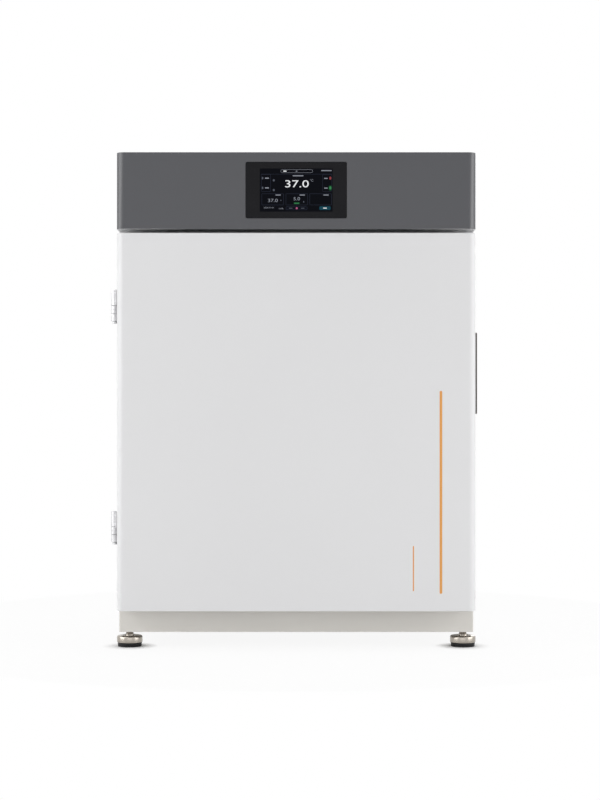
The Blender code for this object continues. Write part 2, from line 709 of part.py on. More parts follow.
def make_chamber_liner():
    """The drawn stainless chamber: front flange, round corners and a round rear edge."""
    middle = (0.0, DOOR_MID_Z)
    size = (CHAMBER_WIDTH, CHAMBER_HEIGHT)
    flange = (size[0] + 2 * CHAMBER_FLANGE, size[1] + 2 * CHAMBER_FLANGE)
    bend = CHAMBER_CORNER / 2
    loops = [
        xz_loop(middle, flange, CHAMBER_CORNER, FLANGE_Y),
        xz_loop(middle, size, CHAMBER_CORNER, FLANGE_Y),
    ]
    for step in range(3):
        angle = math.pi / 4 * step
        inset = bend * (1 - math.cos(angle))
        y = CHAMBER_REAR_Y - bend * (1 - math.sin(angle))
        inner = (size[0] - 2 * inset, size[1] - 2 * inset)
        loops.append(xz_loop(middle, inner, CHAMBER_CORNER - inset, y))
    liner = shell("chamber_liner", loops, STAINLESS, "stainless")
    rear = (CHAMBER_REAR_Y - WRAP_LIP, CHAMBER_REAR_Y + WRAP_LIP)
    shaft = hole((0.0, FAN_MID_Z), FAN_SHAFT_RADIUS + RUNNING_GAP)
    port = hole((PORT_X, PORT_Z), PORT_RADIUS + GAP, 20)
    cut(liner, plate("liner_rear_holes", [shaft, port], "XZ", *rear))
    ways = [hole(centre, radius) for _, centre, radius in deck_holes(GAP)]
    above = CHAMBER_TOP_Z + WRAP_LIP
    cut(liner, plate("liner_top_holes", ways, "XY", CHAMBER_TOP_Z - WRAP_LIP, above))
    return liner


def front_plan(inset, back):
    """The plan that the door and the header share, round at both front corners."""
    half = HALF_WIDTH - inset
    radius = DOOR_EDGE_RADIUS - inset
    front = rounded_rect((-half, DOOR_FRONT_Y + inset), (half, back), radius, 5)
    round_front = front[len(front) // 2 :]
    return [(half, back), (-half, back), *round_front]


def grip_centre_y():
    """Half way across the flat of the door's side."""
    return (DOOR_FRONT_Y + DOOR_EDGE_RADIUS + SKIN_BACK_Y) / 2


def grip_pocket(extra):
    """The outline of the grip's recess from outside, with a gap round it."""
    wall = GRIP_PROUD - GAP
    size = (GRIP_WIDTH - 2 * (GRIP_RIM - wall - extra), GRIP_HEIGHT - 2 * (GRIP_RIM - wall - extra))
    return centred_rect((grip_centre_y(), GRIP_MID_Z), size, GRIP_RIM, 3)


def make_header_cover():
    """The cap over the electronics, level with the door, with a seat for the panel glass."""
    back = CABINET_FRONT_Y + STEEL
    cover = plate("header_cover", [front_plan(0.0, back)], "XY", HEADER_Z, TOP_Z, "grey_paint")
    inside = front_plan(HEADER_WALL, back + HEADER_WALL)
    cut(cover, plate("header_inside", [inside], "XY", HEADER_Z + HEADER_WALL, TOP_Z - HEADER_WALL))
    centre = (0.0, PANEL_CENTRE_Z)
    seat = centred_rect(centre, (PANEL_WIDTH + 2 * GAP, PANEL_HEIGHT + 2 * GAP), PANEL_CORNER, 2)
    seat_back = DOOR_FRONT_Y - PANEL_PROUD + PANEL_THICKNESS + GAP
    cut(cover, plate("panel_seat", [seat], "XZ", DOOR_FRONT_Y - HEADER_WALL, seat_back))
    window = centred_rect(centre, (SCREEN_WIDTH + 2 * GAP, SCREEN_HEIGHT + 2 * GAP))
    cut(cover, plate("screen_window", [window], "XZ", DOOR_FRONT_Y, DOOR_FRONT_Y + 2 * HEADER_WALL))
    return cover


def make_touch_panel():
    """The panel's glass and the display module that shows through it."""
    centre = (0.0, PANEL_CENTRE_Z)
    front = DOOR_FRONT_Y - PANEL_PROUD
    outline = centred_rect(centre, (PANEL_WIDTH, PANEL_HEIGHT), PANEL_CORNER, 2)
    plate("display_bezel", [outline], "XZ", front, front + PANEL_THICKNESS, "black_glass")
    low = front + PANEL_THICKNESS + GAP
    high = low + SCREEN_DEPTH
    screen = centred_rect(centre, (SCREEN_WIDTH, SCREEN_HEIGHT))
    module = plate("display_module", [screen], "XZ", low, high, "black_plastic")
    behind = DOOR_FRONT_Y + HEADER_WALL + GAP
    frame = centred_rect(centre, (SCREEN_WIDTH + SCREEN_DEPTH, SCREEN_HEIGHT + SCREEN_DEPTH))
    join(module, plate("module_frame", [frame], "XZ", behind, high - PANEL_THICKNESS))


def make_door_skin():
    """The outer sheet of the door, folded at top and bottom and turned in behind the foam."""
    plan = front_plan(0.0, SKIN_BACK_Y)
    skin = plate("door_skin", [plan], "XY", DOOR_Z, DOOR_TOP_Z, "white_paint")
    inside = front_plan(STEEL, SKIN_BACK_Y - STEEL)
    cut(skin, plate("skin_inside", [inside], "XY", DOOR_Z + STEEL, DOOR_TOP_Z - STEEL))
    half = HALF_WIDTH - DOOR_LIP
    low = (-half, SKIN_BACK_Y - 2 * STEEL, DOOR_Z + DOOR_LIP)
    cut(skin, box("skin_opening", low, (half, SKIN_BACK_Y + STEEL, DOOR_TOP_Z - DOOR_LIP)))
    side = (HALF_WIDTH - 2 * STEEL, HALF_WIDTH + STEEL)
    return cut(skin, plate("skin_grip_hole", [grip_pocket(GAP)], "YZ", *side))


def make_door_foam():
    """The insulation of the door, hollowed for the inner panel and the grip."""
    inset = STEEL + GAP
    back = SKIN_BACK_Y - inset
    low, high = DOOR_Z + inset, DOOR_TOP_Z - inset
    foam = plate("door_foam", [front_plan(inset, back)], "XY", low, high, "wool")
    size = (DOOR_DISH_WIDTH + 2 * inset, DOOR_DISH_HEIGHT + 2 * inset)
    dish = centred_rect((0.0, DOOR_MID_Z), size, DOOR_DISH_RADIUS + inset)
    cut(foam, plate("dish_space", [dish], "XZ", DOOR_RIM_Y - DOOR_DISH_DEPTH - inset, DOOR_RIM_Y))
    depth = HALF_WIDTH - GRIP_RECESS - GAP
    return cut(foam, plate("grip_space", [grip_pocket(GAP)], "YZ", depth, HALF_WIDTH))


def make_door_liner():
    """The dished inner panel of the door, which leaves room for the glass door."""
    middle = (0.0, DOOR_MID_Z)
    rim = (CABINET_WIDTH - 2 * DOOR_RIM_MARGIN, DOOR_HEIGHT - 2 * DOOR_RIM_MARGIN)
    dish = (DOOR_DISH_WIDTH, DOOR_DISH_HEIGHT)
    bottom = (dish[0] - 2 * DOOR_DISH_DRAFT, dish[1] - 2 * DOOR_DISH_DRAFT)
    loops = [
        xz_loop(middle, rim, DOOR_RIM_MARGIN, DOOR_RIM_Y),
        xz_loop(middle, dish, DOOR_DISH_RADIUS, DOOR_RIM_Y),
        xz_loop(middle, bottom, DOOR_DISH_RADIUS - DOOR_DISH_DRAFT, DOOR_RIM_Y - DOOR_DISH_DEPTH),
    ]
    return shell("door_liner", [loop[::-1] for loop in loops], STEEL, "white_paint")


def make_door_gasket():
    """The magnetic bellows seal on the rim of the door."""
    middle = (0.0, DOOR_MID_Z)
    rim = (CABINET_WIDTH - 2 * DOOR_RIM_MARGIN, DOOR_HEIGHT - 2 * DOOR_RIM_MARGIN)
    size = ((rim[0] + DOOR_DISH_WIDTH) / 2, (rim[1] + DOOR_DISH_HEIGHT) / 2)
    out = DOOR_GASKET_WIDTH
    outer = centred_rect(middle, (size[0] + out, size[1] + out), DOOR_DISH_RADIUS + out / 2)
    inner = centred_rect(middle, (size[0] - out, size[1] - out), DOOR_DISH_RADIUS - out / 2)
    back = CABINET_FRONT_Y - GAP
    return plate("door_gasket", [outer, inner], "XZ", DOOR_RIM_Y + GAP, back, "gasket")


def make_door_grip():
    """The moulded recess in the free edge of the door, which the fingers pull."""
    wall = GRIP_PROUD - GAP
    centre = (grip_centre_y(), GRIP_MID_Z)
    opening = (GRIP_WIDTH - 2 * GRIP_RIM, GRIP_HEIGHT - 2 * GRIP_RIM)
    face = HALF_WIDTH + GRIP_PROUD

    def loop(size, radius, x):
        return [(x, u, v) for u, v in centred_rect(centre, size, radius, 3)]

    loops = [
        loop((GRIP_WIDTH, GRIP_HEIGHT), GRIP_RIM, face),
        loop(opening, GRIP_RIM / 2, face),
        loop(opening, GRIP_RIM / 2, face - GRIP_RECESS + wall),
    ]
    return shell("door_grip", loops, wall, "dark_plastic")


def make_glass_seal():
    """The silicone seal between the chamber flange and the glass door."""
    inner = 2 * GLASS_SEAL_INSET
    outer = inner + 2 * GLASS_SEAL_WIDTH
    middle = (0.0, DOOR_MID_Z)
    outlines = [
        centred_rect(middle, (CHAMBER_WIDTH + outer, CHAMBER_HEIGHT + outer), CHAMBER_CORNER),
        centred_rect(middle, (CHAMBER_WIDTH + inner, CHAMBER_HEIGHT + inner), CHAMBER_CORNER),
    ]
    front = FLANGE_Y - GAP - GLASS_SEAL
    return plate("glass_seal", outlines, "XZ", front, front + GLASS_SEAL, "silicone")


def make_glass_door():
    size = (2 * GLASS_HALF_WIDTH, GLASS_HEIGHT)
    pane = centred_rect((0.0, DOOR_MID_Z), size, GLASS_CORNER)
    shaft = hole((KNOB_X, DOOR_MID_Z), LATCH_SHAFT_RADIUS + GAP)
    return plate("glass_door", [pane, shaft], "XZ", GLASS_FRONT_Y, GLASS_BACK_Y, "clear_glass")


def glass_hinge_heights():
    low = DOOR_MID_Z - GLASS_HEIGHT / 2 + GLASS_HINGE_FROM_END
    return (("lower", low), ("upper", 2 * DOOR_MID_Z - low))


def make_glass_clamp(name, z):
    """A clamp on the glass, with the barrel that turns on the hinge block's pin."""
    x, y = GLASS_AXIS
    half = GLASS_BARREL_HEIGHT / 2
    front = GLASS_FRONT_Y - GAP - CLAMP_PLATE
    outline = rounded_rect((x, front), (x + CLAMP_REACH, front + CLAMP_PLATE))
    clamp = plate("glass_clamp_" + name, [outline], "XY", z - half, z + half, "stainless")
    join(clamp, drum("barrel_" + name, GLASS_BARREL_RADIUS, (x, y, z), "Z", -half, half, steps=16))
    pin = GLASS_PIN_RADIUS + GAP
    return cut(clamp, bore("clamp_bore_" + name, pin, (x, y, z), "Z", -2 * half, 2 * half))


def make_glass_hinge_block(name, z):
    """The block on the front frame that holds the pin of the glass door between two ears."""
    x, y = GLASS_AXIS
    left = x - HINGE_FOOT_WIDTH
    right = -CHAMBER_WIDTH / 2 - CHAMBER_FLANGE - GAP
    seat = CABINET_FRONT_Y - GAP
    inner = GLASS_BARREL_HEIGHT / 2 + RUNNING_GAP
    outer = inner + GLASS_EAR
    foot = ((left, seat - HINGE_FOOT_PLATE, z - outer), (right, seat, z + outer))
    block = box("glass_hinge_block_" + name, *foot, "stainless")
    ear_back = FLANGE_Y - 2 * GAP
    for side in (-1, 1):
        low, high = sorted((z + side * inner, z + side * outer))
        outline = rounded_rect((left, y - GLASS_BARREL_RADIUS), (x + GLASS_BARREL_RADIUS, ear_back))
        join(block, plate(f"ear_{name}_{side}", [outline], "XY", low, high))
    half_pin = inner + GLASS_EAR / 2
    pin = ((x, y, z), "Z", -half_pin, half_pin)
    return join(block, drum("glass_pin_" + name, GLASS_PIN_RADIUS, *pin, steps=12))


def make_latch_knob():
    """Knob, shaft, washer and tongue of the glass door's latch, shown unlatched."""
    at = (KNOB_X, 0.0, DOOR_MID_Z)
    plate_back = GLASS_FRONT_Y - GAP
    plate_front = plate_back - LATCH_TONGUE_PLATE
    low = (KNOB_X - LATCH_TONGUE_WIDTH / 2, DOOR_MID_Z - LATCH_TONGUE)
    high = (KNOB_X + LATCH_TONGUE_WIDTH / 2, DOOR_MID_Z + LATCH_TONGUE_WIDTH / 2)
    tongue = rounded_rect(low, high, LATCH_TONGUE_WIDTH / 3, 3)
    knob = plate("latch_knob", [tongue], "XZ", plate_front, plate_back, "stainless")
    knob_back = plate_front + LATCH_TONGUE_PLATE / 2
    knob_front = plate_front - LATCH_KNOB_HEIGHT
    join(knob, drum("knob_disc", LATCH_KNOB_RADIUS, at, "Y", knob_front, knob_back, steps=24))
    washer_front = GLASS_BACK_Y + GAP
    washer_back = washer_front + CLAMP_PLATE
    join(knob, drum("knob_shaft", LATCH_SHAFT_RADIUS, at, "Y", knob_back, washer_back, steps=12))
    washer = (at, "Y", washer_front, washer_back)
    return join(knob, drum("knob_washer", LATCH_WASHER_RADIUS, *washer))


def make_latch_catch():
    """The bent catch on the front frame that the latch's tongue turns behind."""
    seat = CABINET_FRONT_Y - GAP
    start = CHAMBER_WIDTH / 2 + CHAMBER_FLANGE + GAP
    inside = KNOB_X + LATCH_TONGUE + CATCH_WALL
    outside = inside + CATCH_WALL
    lip = GLASS_HALF_WIDTH + LATCH_TONGUE_WIDTH / 2
    lip_back = GLASS_FRONT_Y - GAP - LATCH_TONGUE_PLATE - RUNNING_GAP
    lip_front = lip_back - CATCH_WALL
    outline = [
        (start, seat),
        (start, seat - CATCH_WALL),
        (inside, seat - CATCH_WALL),
        (inside, lip_back),
        (lip, lip_back),
        (lip, lip_front),
        (outside, lip_front),
        (outside, seat),
    ]
    low = DOOR_MID_Z - CATCH_HEIGHT / 2
    return plate("latch_catch", [outline], "XY", low, low + CATCH_HEIGHT, "stainless")


def shelf_heights():
    first = CHAMBER_Z + SHELF_FIRST
    return [first + SHELF_PITCH * level for level in range(SHELF_COUNT)]


def runner_face_x():
    """Inner face of a runner's web, from the middle of the chamber."""
    return CHAMBER_WIDTH / 2 - GAP - RUNNER_OVERLAP - RUNNER_WALL


def make_shelf_rack(name, side):
    """Two uprights on the chamber wall with a pressed channel for each shelf."""
    wall = CHAMBER_WIDTH / 2 - GAP
    low = CHAMBER_Z + CHAMBER_CORNER
    strip = [side * wall, side * (wall - RUNNER_WALL)]
    rack = None
    for number, y in enumerate((SHELF_FRONT_Y + UPRIGHT_INSET, SHELF_REAR_Y - UPRIGHT_INSET)):
        outline = centred_rect((y, low + RACK_HEIGHT / 2), (UPRIGHT_WIDTH, RACK_HEIGHT), RUNNER_WALL, 2)
        tool = f"upright_{name}_{number}" if rack else "shelf_rack_" + name
        strip_piece = plate(tool, [outline], "YZ", min(strip), max(strip), None if rack else "stainless")
        rack = join(rack, strip_piece) if rack else strip_piece
    web = runner_face_x()
    back = web + RUNNER_WALL
    tip = back - RUNNER_LEG
    for level, z in enumerate(shelf_heights()):
        seat = z - GAP
        roof = seat + RUNNER_OPENING
        channel = [
            (back, seat - RUNNER_WALL),
            (back, roof + RUNNER_WALL),
            (tip, roof + RUNNER_WALL),
            (tip, roof),
            (web, roof),
            (web, seat),
            (tip, seat),
            (tip, seat - RUNNER_WALL),
        ]
        outline = [(side * x, height) for x, height in channel][:: -side]
        join(rack, plate(f"runner_{name}_{level}", [outline], "XZ", SHELF_FRONT_Y, SHELF_REAR_Y))
    return rack


def make_shelf(name, z):
    """A pressed shelf with rows of slots and a lip turned down in front and behind."""
    half = runner_face_x() - SHELF_SIDE_CLEARANCE
    sheet = rounded_rect((-half, SHELF_FRONT_Y), (half, SHELF_REAR_Y), SHELF_LIP_CLEARANCE, 2)
    shelf = plate(name, [sheet], "XY", z, z + STEEL, "stainless")
    lip = runner_face_x() + RUNNER_WALL - RUNNER_LEG - SHELF_LIP_CLEARANCE
    for number, y in enumerate((SHELF_FRONT_Y + GAP, SHELF_REAR_Y - STEEL - GAP)):
        low = (-lip, y, z - SHELF_LIP)
        join(shelf, box(f"{name}_lip_{number}", low, (lip, y + STEEL, z + STEEL / 2)))
    slots = []
    half_slots = runner_face_x() + RUNNER_WALL - RUNNER_LEG - SHELF_SLOT_LENGTH / 2
    columns = int((half_slots - SHELF_LIP_CLEARANCE) // SHELF_SLOT_PITCH_X)
    rows = int((SHELF_DEPTH - 2 * SHELF_SLOT_MARGIN) // SHELF_SLOT_PITCH_Y) + 1
    first = (SHELF_FRONT_Y + SHELF_REAR_Y) / 2 - SHELF_SLOT_PITCH_Y * (rows - 1) / 2
    for row in range(rows):
        for column in range(-columns, columns + 1):
            centre = (SHELF_SLOT_PITCH_X * column, first + SHELF_SLOT_PITCH_Y * row)
            size = (SHELF_SLOT_LENGTH, SHELF_SLOT_WIDTH)
            slots.append(centred_rect(centre, size, SHELF_SLOT_WIDTH / 2, 1))
    return cut(shelf, plate(name + "_slots", slots, "XY", z - STEEL, z + 2 * STEEL))


def make_water_pan():
    """The drawn pan on the chamber floor that keeps the air moist."""
    z = CHAMBER_Z + GAP
    centre = (0.0, SHELF_FRONT_Y + PAN_DEPTH / 2)

    def loop(inset, height):
        size = (PAN_WIDTH - 2 * inset, PAN_DEPTH - 2 * inset)
        return [(u, v, height) for u, v in centred_rect(centre, size, PAN_CORNER - inset / 2)]

    loops = [
        loop(0.0, z + PAN_HEIGHT),
        loop(PAN_RIM, z + PAN_HEIGHT),
        loop(PAN_RIM + PAN_TAPER, z + STAINLESS),
    ]
    return shell("water_pan", loops, STAINLESS, "stainless")


def blade_outline(number):
    """One backward-curved blade of the fan wheel, seen along the shaft."""
    start = 2 * math.pi * number / FAN_BLADES
    inner, outer = FAN_EYE_RADIUS - FAN_BLADE_OVERLAP, FAN_RADIUS - FAN_BLADE
    stations = 5
    sides = ([], [])
    for step in range(stations):
        share = step / (stations - 1)
        radius = inner + (outer - inner) * share
        angle = start - FAN_BLADE_SWEEP * share
        for side, points in zip((-1, 1), sides):
            turn = angle + side * FAN_BLADE / radius
            points.append((radius * math.cos(turn), radius * math.sin(turn)))
    return sides[0] + sides[1][::-1]


def make_fan_wheel():
    """A centrifugal wheel: hub and back plate, curved blades, and a ring round the eye.

    Its pieces are made round the back of its plate, and then put on the shaft together.
    """
    origin = Vector((0.0, 0.0, 0.0))
    rim = circle((0.0, 0.0), FAN_RADIUS, 32)
    wheel = plate("fan_wheel", [rim], "XZ", -FAN_PLATE, 0.0, "stainless")
    outlines = [blade_outline(number) for number in range(FAN_BLADES)]
    blades = plate("fan_blades", outlines, "XZ", FAN_PLATE / 2 - FAN_WIDTH, -FAN_PLATE / 2)
    eye = [rim, circle((0.0, 0.0), FAN_EYE_RADIUS, 32)]
    ring = plate("fan_ring", eye, "XZ", -FAN_WIDTH, FAN_PLATE - FAN_WIDTH)
    hub = drum("fan_hub", FAN_HUB_RADIUS, origin, "Y", -FAN_WIDTH, -FAN_PLATE / 2)
    through = (-FAN_WIDTH - FAN_WALL_GAP, FAN_WALL_GAP)
    shaft_bore = bore("hub_bore", FAN_SHAFT_RADIUS + GAP, origin, "Y", *through)
    for piece in (wheel, blades, ring, hub, shaft_bore):
        piece.location += Vector((0.0, FAN_BACK_Y, FAN_MID_Z))
    join(wheel, blades, ring, hub)
    return cut(wheel, shaft_bore)


def make_fan_motor():
    """The motor behind the insulation, bored for the shaft of the wheel."""
    at = (0.0, INSULATION_REAR_Y + GAP, FAN_MID_Z)
    profile = [
        (0.0, MOTOR_FLANGE + MOTOR_LENGTH),
        (MOTOR_RADIUS - MOTOR_CHAMFER, MOTOR_FLANGE + MOTOR_LENGTH),
        (MOTOR_RADIUS, MOTOR_FLANGE + MOTOR_LENGTH - MOTOR_CHAMFER),
        (MOTOR_RADIUS, MOTOR_FLANGE),
        (MOTOR_FLANGE_RADIUS, MOTOR_FLANGE),
        (MOTOR_FLANGE_RADIUS, 0.0),
        (0.0, 0.0),
    ]
    motor = turned("fan_motor", profile, at, "Y", "stainless", 24)
    shaft = FAN_SHAFT_RADIUS + GAP
    return cut(motor, bore("motor_bore", shaft, at, "Y", -MOTOR_FLANGE, MOTOR_BORE))


def make_fan_shaft():
    at = (0.0, 0.0, FAN_MID_Z)
    end = INSULATION_REAR_Y + MOTOR_BORE - FAN_PLATE
    return drum("fan_shaft", FAN_SHAFT_RADIUS, at, "Y", FAN_FRONT_Y - FAN_PLATE, end, "chrome", 12)


def make_air_duct():
    """The cover over the fan on the chamber's rear wall, with its intake and its outlets."""
    middle = (0.0, DOOR_MID_Z)
    size = (DUCT_WIDTH, DUCT_HEIGHT)
    foot = (DUCT_WIDTH + 2 * DUCT_FOOT, DUCT_HEIGHT + 2 * DUCT_FOOT)
    back = CHAMBER_REAR_Y - GAP - STAINLESS
    front = CHAMBER_REAR_Y - DUCT_DEPTH
    loops = [
        xz_loop(middle, foot, DUCT_FOOT, back, 3),
        xz_loop(middle, size, DUCT_FOOT, back, 3),
        xz_loop(middle, size, DUCT_FOOT, front, 3),
    ]
    duct = shell("air_duct", loops, STAINLESS, "stainless")
    slots = []
    for number in range(DUCT_INTAKES):
        turn = 2 * math.pi * number / DUCT_INTAKES
        half = DUCT_INTAKE_WIDTH / 2
        outline = rounded_rect((FAN_HUB_RADIUS, -half), (FAN_EYE_RADIUS, half))
        slots.append(spun(outline, turn, (0.0, FAN_MID_Z)))
    for row in (-1, 0):
        for column in (-1, 0, 1):
            z = DOOR_MID_Z - DUCT_HEIGHT / 4 + row * DUCT_SLOT_PITCH
            centre = (column * DUCT_WIDTH / 4, z + DUCT_SLOT_LENGTH / 2)
            size = (DUCT_SLOT_WIDTH, DUCT_SLOT_LENGTH)
            slots.append(centred_rect(centre, size, DUCT_SLOT_WIDTH / 2, 2))
    return cut(duct, plate("duct_slots", slots, "XZ", front - DUCT_FOOT, front + DUCT_FOOT))


def hinge_places():
    return (("lower", DOOR_Z + HINGE_RISE), ("upper", DOOR_TOP_Z - HINGE_DROP))


def make_hinge(name, z):
    """A lift-off hinge: leaf on the cabinet's side, leaf on the door's side, pin with a collar."""
    x, y = HINGE_AXIS
    collar_z = z + KNUCKLE_CABINET + GAP
    door_z = collar_z + KNUCKLE_COLLAR + GAP
    top = door_z + KNUCKLE_DOOR
    pin = HINGE_PIN_RADIUS + GAP
    face = -HALF_WIDTH - GAP
    behind = y + HINGE_BARREL_RADIUS + RUNNING_GAP

    cabinet = box(
        "hinge_leaf_cabinet_" + name,
        (face - HINGE_LEAF, behind, z),
        (face, behind + HINGE_LEAF_LENGTH, top),
        "hinge_metal",
    )
    arm = rounded_rect((face - HINGE_LEAF, y), (face, behind + HINGE_LEAF))
    join(cabinet, plate("cabinet_arm_" + name, [arm], "XY", z, z + KNUCKLE_CABINET))
    low_knuckle = ("Z", 0.0, KNUCKLE_CABINET)
    join(cabinet, drum("knuckle_" + name, HINGE_BARREL_RADIUS, (x, y, z), *low_knuckle))
    cut(cabinet, bore("cabinet_bore_" + name, pin, (x, y, z), "Z", -pin, KNUCKLE_CABINET + pin))

    leaf = box(
        "hinge_leaf_door_" + name,
        (face - HINGE_LEAF, y - HINGE_LEAF_LENGTH, door_z),
        (face, y, top),
        "hinge_metal",
    )
    at = (x, y, door_z)
    join(leaf, drum("door_knuckle_" + name, HINGE_BARREL_RADIUS, at, "Z", 0.0, KNUCKLE_DOOR))
    cut(leaf, bore("door_bore_" + name, pin, at, "Z", -pin, KNUCKLE_DOOR + pin))

    collar_top = KNUCKLE_CABINET + GAP + KNUCKLE_COLLAR
    knob = -GAP - PIN_KNOB_HEIGHT
    profile = [
        (0.0, top - z - GAP),
        (HINGE_PIN_RADIUS, top - z - GAP),
        (HINGE_PIN_RADIUS, collar_top),
        (HINGE_BARREL_RADIUS, collar_top),
        (HINGE_BARREL_RADIUS, KNUCKLE_CABINET + GAP),
        (HINGE_PIN_RADIUS, KNUCKLE_CABINET + GAP),
        (HINGE_PIN_RADIUS, -GAP),
        (PIN_KNOB_RADIUS, -GAP),
        (PIN_KNOB_RADIUS, knob + PIN_KNOB_RADIUS / 3),
        (PIN_KNOB_RADIUS * 0.7, knob),
        (0.0, knob),
    ]
    turned("hinge_pin_" + name, profile, (x, y, z), "Z", "hinge_metal", 12)
    return leaf


def foot_places():
    return (
        ("front_left", (-FOOT_X, FOOT_FRONT_Y, 0.0)),
        ("front_right", (FOOT_X, FOOT_FRONT_Y, 0.0)),
        ("rear_left", (-FOOT_X, FOOT_REAR_Y, 0.0)),
        ("rear_right", (FOOT_X, FOOT_REAR_Y, 0.0)),
    )


def make_foot(name, at):
    """A levelling foot: steel cup on a stud, and the ribbed rubber pad pressed into it."""
    cup_z = FOOT_PAD_HEIGHT + GAP
    cup_top = cup_z + FOOT_CUP_HEIGHT
    edge = FOOT_CUP_EDGE
    profile = [
        (0.0, FOOT_LIFT + FOOT_STUD_LENGTH),
        (FOOT_STUD_RADIUS, FOOT_LIFT + FOOT_STUD_LENGTH),
        (FOOT_STUD_RADIUS, cup_top + edge),
        (FOOT_SHOULDER_RADIUS, cup_top + edge),
        (FOOT_SHOULDER_RADIUS, cup_top),
        (FOOT_RADIUS - edge, cup_top),
        (FOOT_RADIUS - edge / 3, cup_top - edge / 3),
        (FOOT_RADIUS, cup_top - edge),
        (FOOT_RADIUS, cup_z),
        (0.0, cup_z),
    ]
    cup = turned("foot_cup_" + name, profile, at, "Z", "chrome", 20)
    pad_radius = FOOT_RADIUS - FOOT_PAD_GROOVE
    rib = FOOT_PAD_RIB
    profile = [
        (0.0, FOOT_PAD_HEIGHT),
        (pad_radius, FOOT_PAD_HEIGHT),
        (pad_radius, 3 * rib),
        (pad_radius - FOOT_PAD_GROOVE, 3 * rib),
        (pad_radius - FOOT_PAD_GROOVE, 2 * rib),
        (pad_radius, 2 * rib),
        (pad_radius - rib / 3, 0.0),
        (0.0, 0.0),
    ]
    pad = turned("foot_pad_" + name, profile, at, "Z", "rubber", 20)
    on_axis("foot_axis_" + name, at, (cup, pad))


def make_rear_service_panel():
    """The screwed cover of the fan motor's space, with louvres and the way for the access port."""
    outline = centred_rect((0.0, DOOR_MID_Z), (SERVICE_WIDTH, SERVICE_HEIGHT), SERVICE_CORNER)
    outlines = [outline, hole((PORT_X, PORT_Z), PORT_RADIUS + GAP, 20)]
    for row in range(LOUVRE_ROWS):
        for column in range(LOUVRE_COLUMNS):
            x = LOUVRE_COLUMN_PITCH * (column - (LOUVRE_COLUMNS - 1) / 2)
            centre = (x, LOUVRE_FIRST_Z + LOUVRE_PITCH * row)
            size = (LOUVRE_LENGTH, LOUVRE_WIDTH)
            outlines.append(centred_rect(centre, size, LOUVRE_WIDTH / 2, 1))
    front = CABINET_REAR_Y + GAP
    return plate("rear_service_panel", outlines, "XZ", front, front + STEEL, "white_paint")


def make_access_port():
    """The tube through the rear wall for cables, and the silicone plug that closes it."""
    at = (PORT_X, 0.0, PORT_Z)
    seat = CABINET_REAR_Y + GAP + STEEL + GAP
    inner = PORT_RADIUS - PORT_WALL
    start = CHAMBER_REAR_Y - GAP
    profile = [
        (PORT_FLANGE_RADIUS, seat + PORT_FLANGE),
        (PORT_FLANGE_RADIUS, seat),
        (PORT_RADIUS, seat),
        (PORT_RADIUS, start),
        (inner, start),
        (inner, seat + PORT_FLANGE),
    ]
    turned("access_port_tube", profile, at, "Y", "stainless")
    face = seat + PORT_FLANGE + GAP
    body = inner - GAP
    profile = [
        (0.0, face + PLUG_HEAD),
        (PLUG_HEAD_RADIUS - PLUG_TAPER, face + PLUG_HEAD),
        (PLUG_HEAD_RADIUS, face + PLUG_HEAD - PLUG_TAPER),
        (PLUG_HEAD_RADIUS, face),
        (body, face),
        (body - PLUG_TAPER, face - PLUG_DEPTH),
        (0.0, face - PLUG_DEPTH),
    ]
    plug = turned("port_plug", profile, at, "Y", "silicone")
    on_axis("port_axis", at, (plug,))


def rocker_pivot():
    x = INLET_X - INLET_WIDTH / 2 + 2 * INLET_FLANGE + ROCKER_WIDTH / 2
    return (x, CABINET_REAR_Y + GAP + INLET_PLATE - ROCKER_DEPTH / 2, INLET_Z)


def make_power_inlet():
    """The appliance inlet with its three pins, and the aperture of the switch beside it."""
    front = CABINET_REAR_Y + GAP
    face = front + INLET_PLATE
    centre = (INLET_X, INLET_Z)
    outline = centred_rect(centre, (INLET_WIDTH, INLET_HEIGHT), INLET_FLANGE, 3)
    inlet = plate("power_inlet", [outline], "XZ", front, face, "black_plastic")
    body = (INLET_WIDTH - 2 * INLET_FLANGE, INLET_HEIGHT - 2 * INLET_FLANGE)
    outline = centred_rect(centre, body)
    join(inlet, plate("inlet_body", [outline], "XZ", front - INLET_DEPTH, front + INLET_PLATE / 2))
    socket_x = INLET_X + INLET_WIDTH / 2 - SOCKET_INSET - SOCKET_HEIGHT / 2
    half_width, half_height = SOCKET_HEIGHT / 2, SOCKET_WIDTH / 2
    socket = [
        (socket_x + half_width, INLET_Z + half_height),
        (socket_x - half_width + SOCKET_CHAMFER, INLET_Z + half_height),
        (socket_x - half_width, INLET_Z + half_height - SOCKET_CHAMFER),
        (socket_x - half_width, INLET_Z - half_height + SOCKET_CHAMFER),
        (socket_x - half_width + SOCKET_CHAMFER, INLET_Z - half_height),
        (socket_x + half_width, INLET_Z - half_height),
    ]
    cut(inlet, plate("socket", [socket], "XZ", face - SOCKET_DEPTH, face + INLET_PLATE))
    across, apart = INLET_PIN_SPREAD
    pins = [
        centred_rect((socket_x + side * across, INLET_Z + rise * apart), INLET_PIN)
        for side, rise in ((1, 1), (-1, 0), (1, -1))
    ]
    pin_start = face - SOCKET_DEPTH - INLET_PLATE
    join(inlet, plate("inlet_pins", pins, "XZ", pin_start, face - 2 * INLET_PLATE))
    x, _, z = rocker_pivot()
    peak = ROCKER_DEPTH / 2 + ROCKER_HEIGHT / 2 * math.tan(math.radians(ROCKER_TILT))
    reach = math.hypot(peak, ROCKER_HEIGHT / 2)
    aperture = centred_rect((x, z), (ROCKER_WIDTH + 2 * GAP, 2 * reach + 2 * GAP))
    depths = (face - ROCKER_DEPTH - INLET_PLATE, face + INLET_PLATE)
    cut(inlet, plate("rocker_aperture", [aperture], "XZ", *depths))
    return inlet


